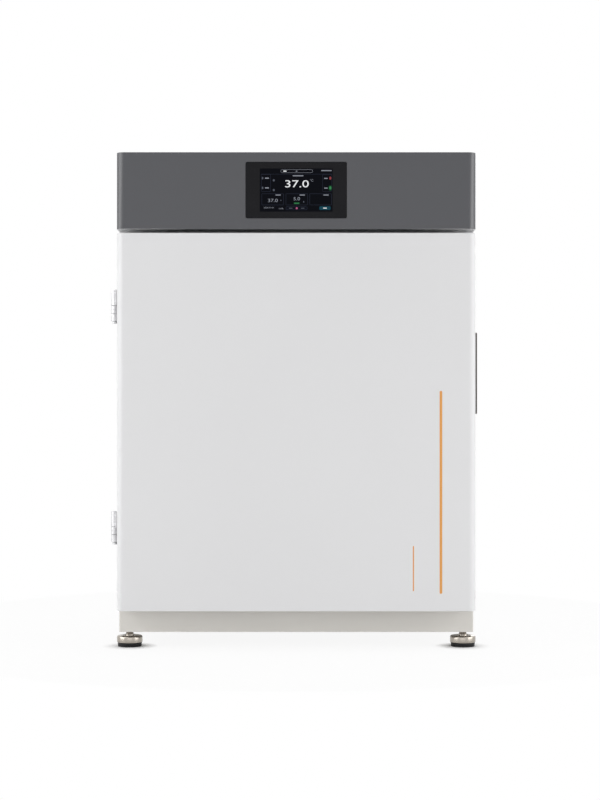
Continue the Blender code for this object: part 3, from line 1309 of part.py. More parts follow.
def make_rocker():
    """The rocker with its two sloping faces, at rest with its upper half pressed in."""
    x, y, z = rocker_pivot()
    slope = math.tan(math.radians(ROCKER_TILT))
    half, depth = ROCKER_HEIGHT / 2, ROCKER_DEPTH / 2
    inward, along = ROCKER_HEEL
    section = [
        (depth, 0.0),
        (depth + half * slope, half),
        (-inward, along),
        (-depth, 0.0),
        (-inward, -along),
        (depth + half * slope, -half),
    ]
    outline = spun(section, math.radians(ROCKER_TILT), (y, z))
    side = (x - ROCKER_WIDTH / 2, x + ROCKER_WIDTH / 2)
    rocker = plate("rocker_switch", [outline], "YZ", *side, "black_plastic")
    on_axis("rocker_axis", (x, y, z), (rocker,))


def make_gas_fitting():
    """The hose barb for the gas supply, screwed through the rear wall."""
    at = (FITTING_X, CABINET_REAR_Y, FITTING_Z)
    hex_end = GAP + FITTING_THREAD_RADIUS
    neck = FITTING_BARB_RADIUS - FITTING_BARB_STEP
    tip = hex_end + FITTING_BARBS * FITTING_BARB_PITCH
    profile = [(0.0, tip), (neck, tip)]
    for number in range(FITTING_BARBS):
        edge = tip - FITTING_BARB_PITCH * (number + 1)
        profile += [(FITTING_BARB_RADIUS, edge + FITTING_BARB_STEP), (neck, edge)]
    profile += [
        (FITTING_THREAD_RADIUS, hex_end - GAP),
        (FITTING_THREAD_RADIUS, -FITTING_THREAD_LENGTH),
        (0.0, -FITTING_THREAD_LENGTH),
    ]
    fitting = turned("gas_fitting", profile, at, "Y", "brass", 12)
    nut = circle((FITTING_X, FITTING_Z), FITTING_HEX_RADIUS, 6)
    faces = (CABINET_REAR_Y + GAP, CABINET_REAR_Y + hex_end)
    return join(fitting, plate("fitting_hex", [nut], "XZ", *faces))


def make_control_board():
    """The board on four pillars, with its larger components."""
    x, y = BOARD_CENTRE
    low = DECK_TOP_Z + GAP + BOARD_STANDOFF
    top = low + BOARD_THICKNESS
    outline = centred_rect((x, y), (BOARD_WIDTH, BOARD_DEPTH), BOARD_STANDOFF / 4, 2)
    board = plate("control_board", [outline], "XY", low, top, "circuit_board")
    inset = BOARD_PILLAR_INSET
    corners = [
        (x + sx * (BOARD_WIDTH / 2 - inset), y + sy * (BOARD_DEPTH / 2 - inset))
        for sx in (-1, 1)
        for sy in (-1, 1)
    ]
    pillars = [circle(corner, BOARD_PILLAR_RADIUS, 6) for corner in corners]
    join(board, plate("board_pillars", pillars, "XY", DECK_TOP_Z + GAP, low + BOARD_THICKNESS / 2))
    seat = low + BOARD_THICKNESS / 2
    first = x - BOARD_COMPONENT_PITCH * (len(BOARD_COMPONENT_HEIGHTS) - 1) / 2
    for number, height in enumerate(BOARD_COMPONENT_HEIGHTS):
        row = (1, -1)[number % 2]
        centre = (first + BOARD_COMPONENT_PITCH * number, y + BOARD_COMPONENT_OFFSET * row)
        part = centred_rect(centre, (BOARD_COMPONENT_WIDTH, BOARD_COMPONENT_DEPTH))
        join(board, plate(f"component_{number}", [part], "XY", seat, top + height))
    return board


def make_power_supply():
    """The enclosed supply, with the slots of its case."""
    x, y = SUPPLY_CENTRE
    width, depth, height = SUPPLY_SIZE
    low = DECK_TOP_Z + GAP
    corner = (x - width / 2, y - depth / 2, low)
    opposite = (x + width / 2, y + depth / 2, low + height)
    supply = box("power_supply", corner, opposite, "stainless")
    slots = []
    for row in range(SUPPLY_SLOTS):
        at = (x, y + SUPPLY_SLOT_PITCH * (row - (SUPPLY_SLOTS - 1) / 2))
        slots.append(centred_rect(at, SUPPLY_SLOT, SUPPLY_SLOT[1] / 2, 1))
    depths = (low + height - SUPPLY_SLOT_DEPTH, low + height + SUPPLY_SLOT_DEPTH)
    return cut(supply, plate("supply_slots", slots, "XY", *depths))


def valve_port(side):
    """Centre of the gas valve's hose port."""
    x, y = VALVE_CENTRE
    z = DECK_TOP_Z + GAP + DECK_FLANGE + GAP + VALVE_BLOCK[2] / 2
    return Vector((x, y + side * VALVE_BLOCK[1] / 2, z))


def make_gas_pieces():
    """Solenoid valve, the hose from the rear fitting, and the nozzle down into the chamber."""
    x, y = VALVE_CENTRE
    width, depth, height = VALVE_BLOCK
    low = DECK_TOP_Z + GAP + DECK_FLANGE + GAP
    outline = centred_rect((x, y), (width, depth), width / 12, 2)
    valve = plate("gas_valve", [outline], "XY", low, low + height, "brass")
    coil_top = height + VALVE_COIL_HEIGHT
    join(valve, drum("valve_coil", VALVE_COIL_RADIUS, (x, y, low), "Z", height / 2, coil_top, steps=16))

    flange = NOZZLE_RADIUS * 2
    bottom = CHAMBER_TOP_Z - NOZZLE_REACH
    profile = [
        (0.0, DECK_TOP_Z + GAP + DECK_FLANGE),
        (flange, DECK_TOP_Z + GAP + DECK_FLANGE),
        (flange, DECK_TOP_Z + GAP),
        (NOZZLE_RADIUS, DECK_TOP_Z + GAP),
        (NOZZLE_RADIUS, bottom),
        (0.0, bottom),
    ]
    turned("gas_nozzle", profile, (x, y, 0.0), "Z", "stainless", 12)

    start = Vector((FITTING_X, CABINET_REAR_Y - FITTING_THREAD_LENGTH - GAP, FITTING_Z))
    end = valve_port(1) + Vector((0.0, GAP, 0.0))
    hose = bpy.data.curves.new("gas_hose", "CURVE")
    hose.dimensions = "3D"
    hose.bevel_depth = HOSE_RADIUS
    hose.bevel_resolution = 2
    hose.use_fill_caps = True
    spline = hose.splines.new("POLY")
    count = 12
    spline.points.add(count - 1)
    pull = Vector((0.0, (start.y - end.y) / 2, 0.0))
    for number, point in enumerate(spline.points):
        t = number / (count - 1)
        spot = (
            start * (1 - t) ** 3
            + 3 * (start - pull) * t * (1 - t) ** 2
            + 3 * (end + pull) * t**2 * (1 - t)
            + end * t**3
        )
        point.co = (*spot, 1.0)
    obj = bpy.data.objects.new("hose_path", hose)
    bpy.context.scene.collection.objects.link(obj)
    bpy.context.view_layer.update()
    add_object("gas_hose", welded_mesh("gas_hose", obj), "silicone")


def make_probe(name, centre, radius, reach, finish):
    """A probe that hangs through the deck and the insulation into the chamber."""
    flange = radius + SENSOR_RADIUS / 2
    bottom = CHAMBER_TOP_Z - reach
    profile = [
        (0.0, DECK_TOP_Z + GAP + 3 * DECK_FLANGE),
        (radius, DECK_TOP_Z + GAP + 3 * DECK_FLANGE),
        (radius, DECK_TOP_Z + GAP + DECK_FLANGE),
        (flange, DECK_TOP_Z + GAP + DECK_FLANGE),
        (flange, DECK_TOP_Z + GAP),
        (radius, DECK_TOP_Z + GAP),
        (radius, bottom + radius / 3),
        (radius * PROBE_TIP, bottom),
        (0.0, bottom),
    ]
    return turned(name, profile, (*centre, 0.0), "Z", finish, 16)


def build():
    make_base_pan()
    make_cabinet_wrap()
    make_top_cover()
    make_front_frame()
    make_electronics_deck()
    make_insulation()
    make_chamber_liner()
    make_glass_seal()
    make_header_cover()
    make_touch_panel()
    make_rear_service_panel()
    make_access_port()
    make_power_inlet()
    make_rocker()
    make_gas_fitting()
    make_control_board()
    make_power_supply()
    make_gas_pieces()
    make_probe("co2_sensor", SENSOR_CENTRE, SENSOR_RADIUS, SENSOR_REACH, "stainless")
    make_probe("temperature_probe", PROBE_CENTRE, PROBE_RADIUS, PROBE_REACH, "chrome")
    make_fan_motor()
    make_air_duct()
    on_axis("fan_axis", (0.0, FAN_BACK_Y, FAN_MID_Z), (make_fan_wheel(), make_fan_shaft()))

    for name, side in (("left", -1), ("right", 1)):
        make_shelf_rack(name, side)
    for name, z in zip(("shelf_lower", "shelf_middle", "shelf_upper"), shelf_heights()):
        make_shelf(name, z)
    make_water_pan()

    leaves = [make_hinge(name, z) for name, z in hinge_places()]
    skin = make_door_skin()
    door = (skin, make_door_foam(), make_door_liner(), make_door_gasket(), make_door_grip(), *leaves)
    on_axis("door_axis", (*HINGE_AXIS, DOOR_MID_Z), door)

    clamps = []
    for name, z in glass_hinge_heights():
        make_glass_hinge_block(name, z)
        clamps.append(make_glass_clamp(name, z))
    glass_axis = on_axis("glass_axis", (*GLASS_AXIS, DOOR_MID_Z), (make_glass_door(), *clamps))
    latch_at = Vector((KNOB_X, GLASS_FRONT_Y, DOOR_MID_Z))
    latch_axis = on_axis("latch_axis", latch_at, (make_latch_knob(),))
    latch_axis.parent = glass_axis
    latch_axis.matrix_parent_inverse = Matrix.Translation(-Vector((*GLASS_AXIS, DOOR_MID_Z)))
    make_latch_catch()

    for name, at in foot_places():
        make_foot(name, at)


clear_scene()
PARTS = new_collection("incubator", hidden=False)
CUTTERS = new_collection("cutters", hidden=True)
build()
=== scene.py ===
"""Looks of the carbon dioxide incubator: finishes, screen, fasteners, light, floor and camera."""
from math import cos, radians, sin

import bmesh
import bpy
from mathutils import Matrix, Vector


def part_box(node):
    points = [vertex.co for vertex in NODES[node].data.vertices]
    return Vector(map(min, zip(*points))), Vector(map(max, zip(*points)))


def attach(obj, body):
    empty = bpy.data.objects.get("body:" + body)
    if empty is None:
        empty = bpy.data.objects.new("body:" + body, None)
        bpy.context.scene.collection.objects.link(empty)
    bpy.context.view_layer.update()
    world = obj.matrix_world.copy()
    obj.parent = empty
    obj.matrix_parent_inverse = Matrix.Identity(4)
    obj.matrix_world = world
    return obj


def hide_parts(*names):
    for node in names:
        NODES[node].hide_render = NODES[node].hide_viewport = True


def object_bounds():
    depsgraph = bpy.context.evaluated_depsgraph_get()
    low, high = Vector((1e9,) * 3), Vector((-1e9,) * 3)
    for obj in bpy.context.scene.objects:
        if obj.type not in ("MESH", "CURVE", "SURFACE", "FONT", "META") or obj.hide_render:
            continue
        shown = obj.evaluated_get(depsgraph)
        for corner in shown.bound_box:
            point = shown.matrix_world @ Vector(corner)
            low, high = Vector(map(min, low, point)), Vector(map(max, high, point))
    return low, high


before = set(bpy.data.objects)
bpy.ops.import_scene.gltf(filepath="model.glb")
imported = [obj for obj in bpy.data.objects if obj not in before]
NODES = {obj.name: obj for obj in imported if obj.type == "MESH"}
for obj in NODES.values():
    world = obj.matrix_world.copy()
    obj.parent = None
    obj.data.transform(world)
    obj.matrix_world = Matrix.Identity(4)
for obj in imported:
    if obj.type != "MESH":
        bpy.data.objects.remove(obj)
bpy.ops.object.select_all(action="DESELECT")
CAD_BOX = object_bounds()

MM = 0.001


# Shader maths: a wrapped socket whose operators add Math nodes.

class Sock:
    """One output of a material's nodes, which takes part in sums."""

    def __init__(self, tree, out):
        self.tree = tree
        self.out = out

    def math(self, operation, *others):
        """The result of a Math node on this value and the others."""
        node = self.tree.nodes.new("ShaderNodeMath")
        node.operation = operation
        for place, value in enumerate((self, *others)):
            feed(self.tree, node.inputs[place], value)
        return Sock(self.tree, node.outputs[0])

    def __add__(self, other):
        return self.math("ADD", other)

    def __sub__(self, other):
        return self.math("SUBTRACT", other)

    def __mul__(self, other):
        return self.math("MULTIPLY", other)

    __radd__ = __add__


def feed(tree, socket, value):
    """Links a wrapped socket, or sets a plain value, on an input."""
    if isinstance(value, Sock):
        tree.links.new(value.out, socket)
        return
    if socket.type == "RGBA" and len(value) == 3:
        value = (*value, 1.0)
    socket.default_value = value


class Finish:
    """A Principled material that is built up from its nodes."""

    def __init__(self, name, colour, roughness, metallic=0.0, **constants):
        self.material = bpy.data.materials.new(name)
        self.material.use_nodes = True
        self.tree = self.material.node_tree
        self.shader = next(n for n in self.tree.nodes if n.type == "BSDF_PRINCIPLED")
        self.set("Base Color", colour)
        self.set("Roughness", roughness)
        self.set("Metallic", metallic)
        for socket, value in constants.items():
            self.set(socket.replace("_", " "), value)
        self.place = self.node("ShaderNodeTexCoord", out="Object")

    def set(self, socket, value):
        """Sets or links an input of the Principled shader."""
        feed(self.tree, self.shader.inputs[socket], value)

    def node(self, kind, values=None, out=0, **settings):
        """Adds a node: settings first, then its input values or links, and returns one output."""
        node = self.tree.nodes.new(kind)
        for key, value in settings.items():
            setattr(node, key, value)
        for socket, value in (values or {}).items():
            feed(self.tree, node.inputs[socket], value)
        return Sock(self.tree, node.outputs[out])

    def axis(self, name):
        """One of the object's own coordinates, X, Y or Z, in metres."""
        return self.node("ShaderNodeSeparateXYZ", {0: self.place}, out=name)

    def stretched(self, across, along, up):
        """The object's coordinates, scaled on each axis, for grain that runs one way."""
        return self.node("ShaderNodeMapping", {"Vector": self.place, "Scale": (across, along, up)})

    def noise(self, scale, detail, place=None):
        """Soft noise from 0 to 1 with about scale cells to the metre."""
        values = {"Vector": place or self.place, "Scale": scale, "Detail": detail}
        return self.node("ShaderNodeTexNoise", values)

    def mix(self, factor, low, high):
        """A colour between low and high."""
        return self.node("ShaderNodeMix", {0: factor, 6: low, 7: high}, out=2, data_type="RGBA")

    def between(self, value, low, high, to_low, to_high):
        """A value mapped from one range to another, clamped."""
        values = {0: value, 1: low, 2: high, 3: to_low, 4: to_high}
        return self.node("ShaderNodeMapRange", values)

    def bump(self, height, distance):
        """Raises the surface by height times distance."""
        values = {"Height": height, "Distance": distance, "Strength": 1.0}
        self.set("Normal", self.node("ShaderNodeBump", values))


def grey(value):
    """A neutral linear colour."""
    return (value, value, value)


def photo(red, green, blue):
    """The linear colour of a shade given from 0 to 255 as it looks on screen."""
    def linear(shade):
        """The linear share of light behind one shade."""
        share = shade / 255.0
        return share / 12.92 if share <= 0.04045 else ((share + 0.055) / 1.055) ** 2.4
    return (linear(red), linear(green), linear(blue))


def toned(colour, share):
    """A colour that is darker, or with a share above 1 lighter."""
    return tuple(part * share for part in colour)


# Finishes: depths of bump are in metres, and scales of noise in cells to the metre

def powder_coat(name, colour, roughness):
    """Powder coated sheet: a fine orange peel and a slight change of tone across the sheet."""
    coat = Finish(name, colour, roughness, Coat_Weight=0.06, Coat_Roughness=0.3)
    drift = coat.noise(3.0, 2.0)
    coat.set("Base Color", coat.mix(drift, toned(colour, 0.96), colour))
    peel = coat.noise(900.0, 2.0)
    coat.set("Roughness", roughness + (peel - 0.5) * 0.10)
    coat.bump(peel, 0.00004)
    return coat.material


def moulded_plastic(name, colour, roughness, shine=0.4, lit_underside=None):
    """Moulded plastic with a fine spark-eroded grain.

    The face that looks down can carry painted light, lighter than the plastic and lightest at its
    ends, for light that reaches it through the gap above the door: the last argument gives its
    height, its half width, and the painted light's colour at its middle and at its ends.
    """
    plastic = Finish(name, colour, roughness, Specular_IOR_Level=shine)
    texture = plastic.noise(1400.0, 3.0)
    worn = plastic.noise(14.0, 3.0)
    base = plastic.mix(worn, colour, toned(colour, 1.12))
    if lit_underside:
        height, half_width, middle, end = lit_underside
        # Painted light: the downward face is made lighter than the plastic, light grey at its
        # middle and white at its ends, for light that reaches it through the gap above the door
        side = plastic.axis("X").math("ABSOLUTE")
        outward = plastic.between(side, half_width * 0.6, half_width, 0.0, 1.0)
        painted_light = plastic.mix(outward, middle, end)
        below = plastic.between(plastic.axis("Z"), height + 0.3 * MM, height + 0.1 * MM, 0.0, 1.0)
        base = plastic.mix(below, base, painted_light)
    plastic.set("Base Color", base)
    plastic.set("Roughness", roughness + (texture - 0.5) * 0.14)
    plastic.bump(texture, 0.00003)
    return plastic.material


def brushed_steel(name, colour, roughness, grain):
    """Stainless sheet with its brushing along the axis on which the grain's scale is low."""
    steel = Finish(name, colour, roughness, metallic=1.0)
    brushing = steel.noise(1.0, 4.0, steel.stretched(*grain))
    cloud = steel.noise(9.0, 3.0)
    steel.set("Base Color", steel.mix(cloud, toned(colour, 0.90), colour))
    steel.set("Roughness", roughness + (brushing - 0.5) * 0.16 + (cloud - 0.5) * 0.06)
    steel.bump(brushing, 0.00002)
    return steel.material


def plated_metal(name, colour, roughness):
    """Plated or turned metal: bright, with faint handling marks."""
    metal = Finish(name, colour, roughness, metallic=1.0)
    marks = metal.noise(120.0, 4.0)
    cloud = metal.noise(30.0, 2.0)
    metal.set("Base Color", metal.mix(cloud, toned(colour, 0.88), colour))
    metal.set("Roughness", roughness + (marks - 0.5) * 0.10)
    return metal.material


def soft_rubber(name, colour, roughness, bloom=0.25):
    """Rubber or silicone: matt, with a dusty bloom and a fine skin."""
    rubber = Finish(name, colour, roughness, Specular_IOR_Level=0.2)
    dust = rubber.noise(60.0, 4.0)
    dusty = tuple(share + (0.5 - share) * bloom * 0.3 for share in colour)
    rubber.set("Base Color", rubber.mix(dust, colour, dusty))
    skin = rubber.noise(1100.0, 2.0)
    rubber.set("Roughness", roughness + (skin - 0.5) * 0.12)
    rubber.bump(skin, 0.00003)
    return rubber.material


def mineral_wool():
    """Pressed wool slab: short fibres in every direction."""
    wool = Finish("mineral_wool", (0.62, 0.52, 0.28), 0.95, Sheen_Weight=0.2)
    fibre = wool.noise(1.0, 5.0, wool.stretched(400.0, 70.0, 260.0))
    wool.set("Base Color", wool.mix(fibre, (0.42, 0.34, 0.16), (0.80, 0.71, 0.45)))
    wool.bump(fibre, 0.0006)
    return wool.material


def clear_glass():
    """Toughened glass of the inner door, with a faint green body and a few finger marks."""
    glass = Finish("clear_glass", (0.965, 0.985, 0.977), 0.02, Transmission_Weight=1.0, IOR=1.45)
    marks = glass.noise(24.0, 4.0)
    glass.set("Roughness", glass.between(marks, 0.55, 0.80, 0.015, 0.06))
    return glass.material


def panel_glass():
    """Black glass front of the touch panel."""
    glass = Finish("panel_glass", photo(20, 20, 23), 0.16, Specular_IOR_Level=0.12)
    smear = glass.noise(40.0, 4.0)
    glass.set("Base Color", glass.mix(smear, photo(19, 19, 22), photo(24, 24, 27)))
    glass.set("Roughness", glass.between(smear, 0.35, 0.75, 0.12, 0.26))
    return glass.material


def circuit_board():
    """Green board with its masked copper tracks."""
    board = Finish("circuit_board", (0.01, 0.12, 0.05), 0.35)
    tracks = board.node(
        "ShaderNodeTexBrick",
        {"Vector": board.place, "Scale": 220.0, "Mortar Size": 0.03},
        out="Fac",
    )
    board.set("Base Color", board.mix(tracks, (0.01, 0.11, 0.05), (0.05, 0.26, 0.10)))
    board.bump(tracks, 0.00005)
    return board.material


def lit(name, colour, strength):
    """Something that shines on the screen: its colour and how bright it stands out."""
    glow = Finish(name, colour, 0.5, Emission_Strength=strength, Specular_IOR_Level=0.04)
    pixels = glow.noise(1500.0, 1.0)
    glow.set("Emission Color", glow.mix(pixels, toned(colour, 0.86), colour))
    glow.set("Base Color", toned(colour, 0.1))
    return glow.material


WHITE = photo(225, 225, 226)
HEADER_GREY = photo(53, 54, 59)
HEADER_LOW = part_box("header_cover")[0]
STEEL = (0.62, 0.61, 0.59)

FINISH = {
    "white": powder_coat("white_powder_coat", WHITE, 0.42),
    "top": powder_coat("top_powder_coat", WHITE, 0.80),
    # The base's own coat is the cabinet's white; this darker, warmer tone is painted shade, for the
    # shade under the door's overhang
    "shaded_plinth": powder_coat("base_coat_with_painted_shade", photo(220, 217, 211), 0.45),
    "liner": powder_coat("door_liner_coat", photo(222, 224, 226), 0.35),
    "header": moulded_plastic(
        "grey_header_plastic", HEADER_GREY, 0.42, shine=0.85,
        # painted light on the downward face: light grey at its middle, white at its ends
        lit_underside=(HEADER_LOW.z, -HEADER_LOW.x, photo(112, 114, 118), WHITE)),
    "panel": panel_glass(),
    "steel_x": brushed_steel("stainless_brushed_across", STEEL, 0.30, (6.0, 900.0, 900.0)),
    "steel_z": brushed_steel("stainless_brushed_up", STEEL, 0.32, (900.0, 900.0, 6.0)),
    "chrome": plated_metal("bright_nickel", (0.42, 0.385, 0.34), 0.22),
    "hinge": plated_metal("satin_hinge_metal", (0.64, 0.64, 0.65), 0.58),
    "screw": plated_metal("zinc_screw", (0.60, 0.60, 0.62), 0.30),
    "sintered": soft_rubber("sintered_cap", (0.50, 0.48, 0.44), 0.70, 0.5),
    "orange": powder_coat("orange_print", photo(224, 155, 74), 0.40),
    "sign": moulded_plastic("white_print", grey(0.75), 0.5),
    "brass": plated_metal("turned_brass", (0.66, 0.47, 0.19), 0.26),
    "aluminium": plated_metal("pressed_aluminium", (0.68, 0.69, 0.70), 0.36),
    "glass": clear_glass(),
    "black": moulded_plastic("black_plastic", (0.018, 0.018, 0.020), 0.48),
    "grip": moulded_plastic("dark_grip_plastic", photo(78, 73, 70), 0.55),
    "gasket": soft_rubber("grey_gasket", (0.30, 0.31, 0.32), 0.62),
    "rubber": soft_rubber("black_rubber", (0.012, 0.012, 0.013), 0.50, 0.06),
    "silicone": soft_rubber("pale_silicone", (0.74, 0.75, 0.74), 0.42),
    "wool": mineral_wool(),
    "foam": soft_rubber("pale_foam", (0.78, 0.72, 0.52), 0.85),
    "board": circuit_board(),
}

NODE_FINISH = {
    "top": ("top_cover",),
    "white": ("cabinet_wrap", "front_frame", "rear_service_panel", "door_skin"),
    "shaded_plinth": ("base_pan",),
    "liner": ("door_liner",),
    "header": ("header_cover",),
    "panel": ("display_bezel",),
    "steel_x": (
        "electronics_deck", "chamber_liner", "air_duct", "water_pan", "fan_wheel", "fan_motor",
        "shelf_lower", "shelf_middle", "shelf_upper", "latch_knob", "latch_catch",
        "gas_nozzle", "co2_sensor", "access_port_tube",
    ),
    "steel_z": (
        "shelf_rack_left", "shelf_rack_right", "glass_hinge_block_lower",
        "glass_hinge_block_upper", "glass_clamp_lower", "glass_clamp_upper",
    ),
    "chrome": (
        "temperature_probe", "fan_shaft", "foot_cup_front_left", "foot_cup_front_right",
        "foot_cup_rear_left", "foot_cup_rear_right",
    ),
    "hinge": (
        "hinge_leaf_cabinet_lower", "hinge_leaf_cabinet_upper", "hinge_pin_lower",
        "hinge_pin_upper", "hinge_leaf_door_lower", "hinge_leaf_door_upper",
    ),
    "brass": ("gas_valve", "gas_fitting"),
    "aluminium": ("power_supply",),
    "glass": ("glass_door",),
    "black": ("display_module", "power_inlet", "rocker_switch"),
    "grip": ("door_grip",),
    "gasket": ("door_gasket",),
    "rubber": (
        "foot_pad_front_left", "foot_pad_front_right", "foot_pad_rear_left", "foot_pad_rear_right",
    ),
    "silicone": ("glass_seal", "gas_hose", "port_plug"),
    "wool": ("insulation",),
    "foam": ("door_foam",),
    "board": ("control_board",),
}

# How wide the edges of a node are rounded; the other nodes keep sharp edges
EDGE_ROUNDING = {
    "door_skin": 0.8 * MM, "header_cover": 1.2 * MM, "cabinet_wrap": 0.5 * MM,
    "top_cover": 0.6 * MM, "base_pan": 0.6 * MM, "display_bezel": 0.3 * MM,
    "door_grip": 0.4 * MM, "door_liner": 0.5 * MM, "rear_service_panel": 0.4 * MM,
    "front_frame": 0.4 * MM, "power_supply": 0.5 * MM, "power_inlet": 0.4 * MM,
    "rocker_switch": 0.5 * MM, "water_pan": 0.3 * MM, "latch_knob": 0.5 * MM,
    "hinge_leaf_cabinet_lower": 0.4 * MM, "hinge_leaf_cabinet_upper": 0.4 * MM,
    "hinge_leaf_door_lower": 0.4 * MM, "hinge_leaf_door_upper": 0.4 * MM,
    "glass_door": 0.4 * MM, "glass_hinge_block_lower": 0.3 * MM,
    "glass_hinge_block_upper": 0.3 * MM, "air_duct": 0.3 * MM,
}
SMOOTH_ANGLE = radians(34)
SAME_POINT = 0.01 * MM  # corners that lie closer than this are one


def dress_nodes():
    """Gives every node its finish, smooth shading and softened edges."""
    for finish, names in NODE_FINISH.items():
        for name in names:
            node = NODES[name]
            node.data.materials.clear()
            node.data.materials.append(FINISH[finish])
            node.data.polygons.foreach_set("use_smooth", [True] * len(node.data.polygons))
            weld = node.modifiers.new("weld", "WELD")
            weld.merge_threshold = SAME_POINT
            if name in EDGE_ROUNDING:
                bevel = node.modifiers.new("soft edge", "BEVEL")
                bevel.width = EDGE_ROUNDING[name]
                bevel.segments = 2
                bevel.limit_method = "ANGLE"
                bevel.angle_limit = SMOOTH_ANGLE
            split = node.modifiers.new("crease", "EDGE_SPLIT")
            split.split_angle = SMOOTH_ANGLE
            split.use_edge_sharp = False
            flat = node.modifiers.new("flat faces", "WEIGHTED_NORMAL")
            flat.keep_sharp = True


# Floor, light and camera

FLOOR_Z = CAD_BOX[0].z
FLOOR_SIZE = 60.0
FLOOR_WHITE = (0.10, 0.91)  # how far the floor is white at a foot, and between the feet
FOOT_SHADOW = (0.020, 0.044)  # metres from a foot's middle over which its shadow fades
FLOOR_FADE = (0.36, 0.70)  # metres from the middle over which the floor turns white
FLOOR_DROP = 0.2 * MM  # lowest point of the part to the floor
WORLD_LIGHT = 0.325
CAMERA_AT = (5.8 * MM, -3.095, 0.384)
CAMERA_LENS = 82.5  # focal length, on a sensor as wide as the next value
CAMERA_SENSOR = 36.0
CAMERA_CLIP = (0.05, 60.0)
LAMPS_AIM = (0.0, -0.05, 0.38)
LAMPS = (  # name, place, the point that it faces, its width and height, and its watts
    ("key_left", (-2.2, -2.6, 1.9), LAMPS_AIM, (1.6, 1.6), 11.0),
    ("fill_right", (2.4, -2.2, 1.1), LAMPS_AIM, (1.8, 1.8), 3.0),
    ("top", (0.0, 0.1, 2.9), LAMPS_AIM, (2.2, 2.2), 22.0),
    ("side_left", (-2.6, -1.1, 0.9), LAMPS_AIM, (2.2, 1.8), 37.0),
    ("side_right", (2.6, -1.1, 0.9), LAMPS_AIM, (2.2, 1.8), 38.0),
    ("low_front", (0.0, -3.2, 0.25), (0.0, 0.0, 0.1), (2.4, 0.4), 4.0),
    ("rear", (0.6, 2.8, 1.6), LAMPS_AIM, (2.0, 2.0), 20.0),
)


def seen_rays(tree):
    """1 for rays from the camera, straight, through glass or off a gloss, and 0 for the others."""
    rays = tree.nodes.new("ShaderNodeLightPath").outputs
    kinds = ("Is Camera Ray", "Is Transmission Ray", "Is Glossy Ray")
    straight, through, glossy = (Sock(tree, rays[kind]) for kind in kinds)
    return straight.math("MAXIMUM", through).math("MAXIMUM", glossy)


def make_floor():
    """A pale floor that keeps the shadow near the cabinet and turns plain white further out."""
    bpy.ops.mesh.primitive_plane_add(size=FLOOR_SIZE, location=(0.0, 0.0, FLOOR_Z - FLOOR_DROP))
    floor = bpy.context.object
    floor.name = "floor"
    ground = Finish("pale_floor", grey(0.93), 0.9)
    ground.bump(ground.noise(300.0, 2.0), 0.00002)
    away = ground.node("ShaderNodeVectorMath", {0: ground.place}, out="Value", operation="LENGTH")
    foot = piece_middle("foot_pad_front_right")
    rear = piece_middle("foot_pad_rear_right")
    across = ground.axis("X").math("ABSOLUTE") - foot.x
    along = (ground.axis("Y") - (foot.y + rear.y) / 2).math("ABSOLUTE") - (rear.y - foot.y) / 2
    from_foot = (across * across + along * along).math("SQRT")
    near = ground.between(from_foot, *FOOT_SHADOW, *FLOOR_WHITE)
    far = near.math("MAXIMUM", ground.between(away, *FLOOR_FADE, 0.0, 1.0))
    white = ground.node("ShaderNodeEmission", {"Color": grey(1.0), "Strength": 1.0})
    shader = Sock(ground.tree, ground.shader.outputs[0])
    factor = seen_rays(ground.tree) * far
    mixed = ground.node("ShaderNodeMixShader", {0: factor, 1: shader, 2: white})
    ground.tree.links.new(mixed.out, ground.tree.nodes["Material Output"].inputs["Surface"])
    floor.data.materials.append(ground.material)


def make_world():
    """White behind the object, and a plain level of light on it."""
    world = bpy.data.worlds.new("studio")
    bpy.context.scene.world = world
    world.use_nodes = True
    tree = world.node_tree
    soft, white = tree.nodes["Background"], tree.nodes.new("ShaderNodeBackground")
    for background, strength in ((soft, WORLD_LIGHT), (white, 1.0)):
        background.inputs["Color"].default_value = (*grey(1.0), 1.0)
        background.inputs["Strength"].default_value = strength
    mix = tree.nodes.new("ShaderNodeMixShader")
    for place, out in enumerate((seen_rays(tree).out, soft.outputs[0], white.outputs[0])):
        tree.links.new(out, mix.inputs[place])
    tree.links.new(mix.outputs[0], tree.nodes["World Output"].inputs["Surface"])


def make_lights():
    """Large soft lamps round the cabinet."""
    for name, at, towards, size, power in LAMPS:
        lamp = bpy.data.lights.new(name, "AREA")
        lamp.shape = "RECTANGLE"
        lamp.size, lamp.size_y = size
        lamp.energy = power
        obj = bpy.data.objects.new(name, lamp)
        obj.location = at
        obj.rotation_euler = (Vector(towards) - Vector(at)).to_track_quat("-Z", "Y").to_euler()
        bpy.context.scene.collection.objects.link(obj)


def make_camera():
    """Level with the middle of the door, as in the photograph."""
    lens = bpy.data.cameras.new("photo_view")
    lens.lens = CAMERA_LENS
    lens.sensor_width = CAMERA_SENSOR
    lens.clip_start, lens.clip_end = CAMERA_CLIP
    camera = bpy.data.objects.new("photo_view", lens)
    camera.location = CAMERA_AT
    camera.rotation_euler = (radians(90), 0.0, 0.0)
    bpy.context.scene.collection.objects.link(camera)
    bpy.context.scene.camera = camera


# Modelling helpers

def piece_middle(name):
    """The middle of a node's box."""
    low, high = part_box(name)
    return (low + high) / 2


def only(obj):
    """Makes one object the sole selection."""
    bpy.ops.object.select_all(action="DESELECT")
    bpy.context.view_layer.objects.active = obj
    obj.select_set(True)


def apply_place(obj):
    """Puts an object's place into its mesh, so that the object sits at the origin."""
    only(obj)
    bpy.ops.object.transform_apply(location=True, rotation=True, scale=True)


def apply_modifiers(obj):
    """Works an object's modifiers into its mesh."""
    only(obj)
    for modifier in list(obj.modifiers):
        bpy.ops.object.modifier_apply(modifier=modifier.name)


